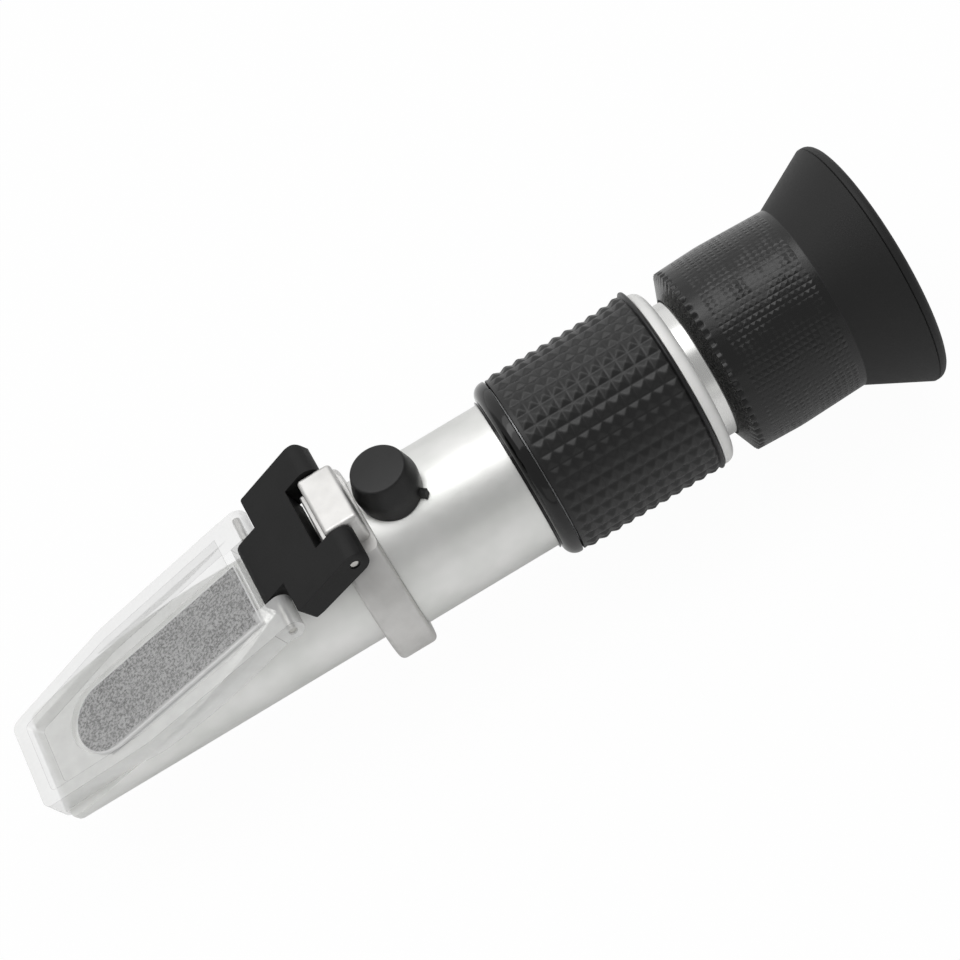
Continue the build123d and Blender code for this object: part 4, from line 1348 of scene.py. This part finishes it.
@dataclass
class FocusingEyecup(SubAssembly):
    """Bright focusing barrel and the flared rubber cup on it."""

    body: str = "focus_ring"
    start: float = 62.14
    barrel_start: float = 45.44
    barrel_end: float = 80.24
    barrel_radius: float = 11.60
    barrel_bore: float = 10.00
    barrel_round: float = 0.2
    fit: float = 0.05
    nose_radius: float = 12.00
    nose_margin: float = 0.10
    bevel: float = 1.50
    land: float = 1.00
    land_rise: float = 0.05
    front_radius: float = 15.70
    crown_radius: float = 16.00
    crown_round: float = 30.0
    crown: float = 9.00
    neck_radius: float = 15.60
    neck_round: float = 0.35
    body_length: float = 20.60
    cone_length: float = 9.70
    rim_radius: float = 20.75
    rim_round: float = 1.3
    rim_drop: float = 0.05
    groove_depth: float = 0.17
    groove_ends: tuple[float, float] = (0.10, 0.24)
    lip_length: float = 1.80
    mouth_round: float = 0.3
    inner_round: float = 1.7
    wall: float = 1.70
    hole_radius: float = 8.90
    hole_round: float = 0.2
    shoulder: float = 2.20
    serrations: int = 58
    serration_depth: float = 0.32
    serration_flank: float = 1.5
    serration_blend: float = 0.3
    bevel_fade: tuple[float, float] = (0.45, 1.0)
    land_fade: tuple[float, float] = (0.55, 0.95)
    steps: tuple[float, float] = (0.25, 0.15)
    segments_each: int = 10
    sharp: float = 40.0

    def cup_profile(self) -> Profile:
        """Outline of the cup, from the front bevel over the outside and back through the hole.

        Returns:
            The closed outline in mm.
        """
        neck = self.start + self.body_length
        cone_end = neck + self.cone_length
        end = cone_end + self.lip_length
        floor = self.barrel_end + self.fit
        floor_end = floor + self.shoulder
        seat = self.barrel_radius + self.fit
        rim = self.rim_radius - self.rim_drop
        flare = math.hypot(self.cone_length, self.rim_radius - self.neck_radius)
        inset = self.wall * flare / self.cone_length
        mouth = self.rim_radius - inset
        edge = (self.start + self.bevel, self.front_radius)
        land = (edge[0] + self.land, self.front_radius + self.land_rise)
        bevel = divided([(self.start, self.nose_radius), edge], self.steps[0])
        rest = rounded([
            land, (self.start + self.crown, self.crown_radius, self.crown_round),
            (neck, self.neck_radius, self.neck_round), (cone_end, rim),
            (cone_end + self.groove_ends[0], rim - self.groove_depth), (cone_end + self.groove_ends[1], rim),
            (end, self.rim_radius, self.rim_round), (end, mouth, self.mouth_round),
            (cone_end, mouth, self.inner_round), (floor_end, self.neck_radius - inset, self.inner_round),
            (floor_end, self.hole_radius, self.hole_round), (floor, self.hole_radius), (floor, seat),
            (self.start, seat),
        ])
        return bevel + divided([edge, land], self.steps[1])[1:-1] + rest

    def serrated(self, made: Object, finish: Material) -> Mesh:
        """Cuts V notches into the front bevel, which run out on the land behind it.

        Args:
            made: the plain cup.
            finish: its rubber.

        Returns:
            The serrated cup.
        """
        group = Group("Serrated bevel", {
            "Count": float(self.serrations), "Depth": self.serration_depth * MM,
            "Front X": DATUM.at(self.start).x, "Bevel": self.bevel * MM, "Land": self.land * MM,
            "Axis Z": DATUM.at(0).z, "Nose radius": (self.nose_radius + self.nose_margin) * MM,
        }, finish)
        tree, given, do = group.tree, group.given, group.maths
        spot = group.spot()
        rise = do("SUBTRACT", spot["Z"], given["Axis Z"])
        radius = do("SQRT", do("ADD", do("MULTIPLY", rise, rise), do("MULTIPLY", spot["Y"], spot["Y"])))
        wave = group.zigzag(do("DIVIDE", do("ARCTAN2", spot["Y"], rise), math.tau), given["Count"])
        crest = do("SMOOTH_MIN", do("MULTIPLY", wave, self.serration_flank), 1.0, self.serration_blend)
        groove = do("MULTIPLY", do("SUBTRACT", 1.0, crest), given["Depth"])
        reach = do("SUBTRACT", spot["X"], given["Front X"])
        opening = ramp(tree, do("DIVIDE", reach, given["Bevel"]), *self.bevel_fade, smooth=True)
        past = do("DIVIDE", do("SUBTRACT", reach, given["Bevel"]), given["Land"])
        closing = ramp(tree, past, *self.land_fade, 1.0, 0.0, smooth=True)
        outside = do("GREATER_THAN", radius, given["Nose radius"])
        cut = do("MULTIPLY", groove, do("MULTIPLY", outside, do("MULTIPLY", opening, closing)))
        inward = do("DIVIDE", do("SUBTRACT", radius, cut), radius)
        return group.applied(made, group.moved(
            given["Geometry"], spot["X"], do("MULTIPLY", spot["Y"], inward),
            do("ADD", do("MULTIPLY", rise, inward), given["Axis Z"]),
        ))

    def cup(self) -> Object:
        """The eyecup with its serrated bevel.

        Returns:
            The eyecup.
        """
        finish = self.finishes.of(CUP_RUBBER)
        mesh = turned_mesh("rubber_eyecup", self.cup_profile(), self.serrations * self.segments_each)
        made = piece("rubber_eyecup", mesh, finish, self.sharp)
        made.data = self.serrated(made, finish)
        shaded(made.data, self.sharp)
        return made

    def build(self) -> None:
        """Builds the barrel and the cup."""
        outline = rounded([
            (self.barrel_start, self.barrel_bore), (self.barrel_end, self.barrel_bore),
            (self.barrel_end, self.barrel_radius, self.barrel_round),
            (self.barrel_start, self.barrel_radius, self.barrel_round),
        ], 3)
        self.turn("bright_barrel", outline, 192, TURNED_ALUMINIUM, "barrel_metal", "focus_barrel")
        self.stand_in(self.cup(), "eyecup_rubber", "eyecup")


@dataclass
class HingeBracket(SubAssembly):
    """Black bracket between the collar's block and the cover, with its two pins."""

    body: str = "bracket"
    edge: float = 0.35
    half_span: float = 12.02
    dome: float = 0.18
    block_pin_radius: float = 0.75
    knuckle_pin_radius: float = 0.60
    slot_front: float = -1.76
    slot_half: float = 6.14
    # Sizes of the black rib in the bracket's slot, a dark piece that stands in for shade there.
    rib_root: float = 0.5
    rib_top: tuple[float, float] = (0.05, 17.20)
    rib_foot: tuple[float, float] = (0.95, 12.60)
    rib_edge: float = 0.12

    def pin(self, name: str, spot: tuple[float, float], radius: float, node: str) -> None:
        """One pin across the instrument, with domed ends.

        Args:
            name: name of the pin.
            spot: its station and its height over the axis, in mm.
            radius: its radius, in mm.
            node: the CAD node that it stands for.
        """
        half, dome = self.half_span, self.dome
        cap, shoulder = half - dome * 0.3, radius * 0.6
        outline = [(-half, 0.0), (-cap, shoulder), (dome - half, radius), (half - dome, radius),
                   (cap, shoulder), (half, 0.0)]
        mesh = turned_mesh(name, outline, 32, place=DATUM.turned(90, "Z", *spot))
        self.stand_in(piece(name, mesh, self.finishes.of(PIN_STEEL)), "pin_steel", node)

    def rib(self) -> Object:
        """Leaning black rib at the front wall of the bracket's slot, thicker towards its foot, that darkens
        the slot as painted shade.

        Returns:
            The rib.
        """
        (top_reach, top), (foot_reach, foot) = self.rib_top, self.rib_foot
        side = [(-self.rib_root, top), (top_reach, top), (foot_reach, foot), (-self.rib_root, foot)]
        lines = [
            [DATUM.at(self.slot_front + reach, y, rise) for reach, rise in side]
            for y in (-self.slot_half, self.slot_half)
        ]
        mesh = skinned("slot_rib", lines, False, self.rib_edge)
        return piece("slot_rib", mesh, self.finishes.of(MATTE_NYLON))

    def build(self) -> None:
        """Builds the bracket and its pins."""
        self.soften("hinge_bracket", "moulded_bracket", MATTE_NYLON, "bracket_black", self.edge)
        # A black rib that stands in for the shade in the bracket's slot.
        self.stand_in(self.rib(), "bracket_black")
        self.pin("block_pin", BLOCK_PIN, self.block_pin_radius, "bracket_pin")
        self.pin("knuckle_pin", KNUCKLE_PIN, self.knuckle_pin_radius, "plate_pin")


@dataclass
class ClearCover(SubAssembly):
    """Clear moulded cover with the frosted sheet in a pocket under its floor."""

    body: str = "cover"
    edge: float = 0.16
    slope: float = 15.6
    rim_foot: float = -1.36
    rim_top: float = -0.85
    rim_play: float = 0.01
    sheet_half: float = 5.87
    sheet_rear: float = 4.30
    sheet_straight: float = 33.50
    rim_width: float = 0.28
    rim_steps: int = 40
    sharp: float = 50.0

    def rim_line(self, grow: float, level: float) -> list[Vector]:
        """One line of the pocket's edge, all round the sheet.

        Args:
            grow: distance out from the sheet's edge, in mm.
            level: height over the plate pin along the cover's normal, in mm.

        Returns:
            The points in the part's frame.
        """
        half = self.sheet_half + grow
        rear = grow - self.sheet_rear
        arc = [math.pi * step / self.rim_steps for step in range(self.rim_steps + 1)]
        round_end = [(-self.sheet_straight - half * math.sin(a), half * math.cos(a)) for a in arc]
        place = DATUM.turned(-self.slope, "Y", *KNUCKLE_PIN)
        return [place @ (Vector((x, y, level)) * MM) for x, y in [(rear, half), *round_end, (rear, -half)]]

    def rim(self) -> Object:
        """Pale edge of the moulded pocket that holds the sheet.

        Returns:
            The closed ring.
        """
        near, wide, foot, top = self.rim_play, self.rim_width, self.rim_foot, self.rim_top
        section = [(near, foot), (near, top - 0.03), (near + 0.05, top), (wide - 0.10, top),
                   (wide, top - 0.08), (wide, foot)]
        mesh = skinned("sheet_rim", [self.rim_line(*corner) for corner in section], True)
        return piece("sheet_rim", mesh, self.finishes.of(FROSTED_EDGE), self.sharp)

    def build(self) -> None:
        """Builds the cover and the edge of its pocket, and dresses the sheet."""
        # The cover's rounded edges take a darker grey finish, a painted shade that outlines the moulding.
        self.soften("cover_plate", "clear_cover", CLEAR_ACRYLIC, "cover_clear", self.edge, edge=ACRYLIC_EDGE_SHADE)
        self.stand_in(self.rim(), "cover_clear")
        self.dress(FROSTED_SHEET, "frosted_pad")


# Floor, lights and camera


@dataclass(frozen=True)
class Lamp:
    """A soft box that looks at the instrument from a bearing and an elevation."""

    name: str
    bearing: float
    elevation: float
    distance: float
    size: tuple[float, float]
    radiance: float
    colour: str = "#ffffff"


@dataclass
class Studio:
    """White sweep of floor, soft boxes and the photograph's camera.

    The room's walls show only in mirrors: a bright one behind, a darker one in front and dark ends.
    """

    finishes: Finishes
    floor_reach: float = 2.5
    lens: float = 94.29
    distance: float = 386.8
    elevation: float = 51.997
    swing: float = 0.993
    roll: float = 30.937
    aim: float = 6.077
    lift: float = 2.283
    room: float = 0.45
    near_wall: float = 0.42
    far_wall: float = 0.95
    wall_turn: tuple[float, float] = (-0.2, 0.6)
    end_wall: float = 0.12
    end_turn: tuple[float, float] = (0.58, 0.80)
    lamps: list[Lamp] = field(default_factory=lambda: [
        Lamp("overhead_box", 90, 80, 0.75, (1.1, 0.62), 1.12),
        Lamp("overhead_strip", 90, 76, 0.73, (1.1, 0.16), 1.45),
        Lamp("front_fill", -100, 12, 0.80, (0.9, 0.25), 0.30, "#f6f7f4"),
    ])

    def floor(self) -> None:
        """White floor."""
        work = bmesh.new()
        bmesh.ops.create_grid(work, x_segments=8, y_segments=8, size=self.floor_reach)
        made = placed("floor", written(work, "floor"))
        made.data.materials.append(self.finishes.of(WHITE_PAPER))

    def world(self) -> None:
        """Even room light, white behind the instrument."""
        world = bpy.data.worlds.new("studio_room")
        world.use_nodes = True
        tree = world.node_tree
        tree.nodes.clear()
        path = add(tree, "ShaderNodeLightPath").outputs
        way = axes(tree, add(tree, "ShaderNodeTexCoord").outputs["Generated"])
        walls = ramp(tree, way["Y"], *self.wall_turn, self.near_wall, self.far_wall, smooth=True)
        aside = maths(tree, "ABSOLUTE", way["X"])
        ends = ramp(tree, aside, *self.end_turn, 1.0, self.end_wall, smooth=True)
        mirrored = maths(tree, "MULTIPLY", path["Is Glossy Ray"], maths(tree, "MULTIPLY", walls, ends))
        direct = maths(tree, "MAXIMUM", path["Is Camera Ray"], path["Is Transmission Ray"])
        level = maths(tree, "MAXIMUM", maths(tree, "MAXIMUM", direct, mirrored), self.room)
        room = add(tree, "ShaderNodeBackground", {}, {"Color": linear("#ffffff"), "Strength": level})
        add(tree, "ShaderNodeOutputWorld", {}, {"Surface": room.outputs[0]})
        bpy.context.scene.world = world

    def light(self, lamp: Lamp) -> None:
        """Hangs one soft box.

        Args:
            lamp: where it hangs, and its size and level.
        """
        data = bpy.data.lights.new(lamp.name, "AREA")
        data.shape = "RECTANGLE"
        data.size, data.size_y = lamp.size
        data.color = linear(lamp.colour)[:3]
        data.energy = lamp.radiance * math.pi * lamp.size[0] * lamp.size[1]
        bearing, elevation = math.radians(lamp.bearing), math.radians(lamp.elevation)
        level = math.cos(elevation)
        away = Vector((level * math.cos(bearing), level * math.sin(bearing), math.sin(elevation)))
        made = placed(lamp.name, data)
        made.location = Vector((0, 0, DATUM.height * MM)) + away * lamp.distance
        made.rotation_euler = away.to_track_quat("Z", "Y").to_euler()

    def camera(self) -> None:
        """Camera at the photograph's angle, which the scene then uses."""
        rise, swing, roll = (math.radians(angle) for angle in (self.elevation, self.swing, self.roll))
        up = Vector((0, math.sin(rise), math.cos(rise)))
        out = Vector((0, -math.cos(rise), math.sin(rise)))
        across = Vector((math.cos(swing), 0, 0)) + out * math.sin(swing)
        away = out * math.cos(swing) - Vector((math.sin(swing), 0, 0))
        right = across * math.cos(roll) - up * math.sin(roll)
        top = across * math.sin(roll) + up * math.cos(roll)
        aim = Vector((self.aim, 0, DATUM.height)) + up * self.lift
        data = bpy.data.cameras.new("photograph_camera")
        data.sensor_width = 36.0
        data.sensor_fit = "HORIZONTAL"
        data.lens = self.lens
        data.clip_start = 0.01
        data.dof.use_dof = False
        made = placed("photograph_camera", data)
        turn = Matrix((right, top, away)).transposed()
        made.matrix_world = Matrix.Translation((aim + away * self.distance) * MM) @ turn.to_4x4()
        bpy.context.scene.camera = made

    def build(self) -> None:
        """Sets up the floor, the room, the lamps and the camera."""
        self.floor()
        self.world()
        for lamp in self.lamps:
            self.light(lamp)
        self.camera()
        bpy.context.scene.view_settings.view_transform = "Standard"


def main() -> None:
    """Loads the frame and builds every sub-assembly in order."""
    logging.basicConfig(level=logging.INFO, format="%(name)s: %(message)s")
    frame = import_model()
    finishes = Finishes()
    Studio(finishes).build()
    for kind in (PrismEnd, TubeWithCollar, ScrewCap, SlidingObjective, KnurledGrip, EyepieceCell,
                 FocusingEyecup, HingeBracket, ClearCover):
        LOG.info("building %s", kind.__name__)
        kind(frame, finishes).build()


if __name__ == "__main__":
    main()
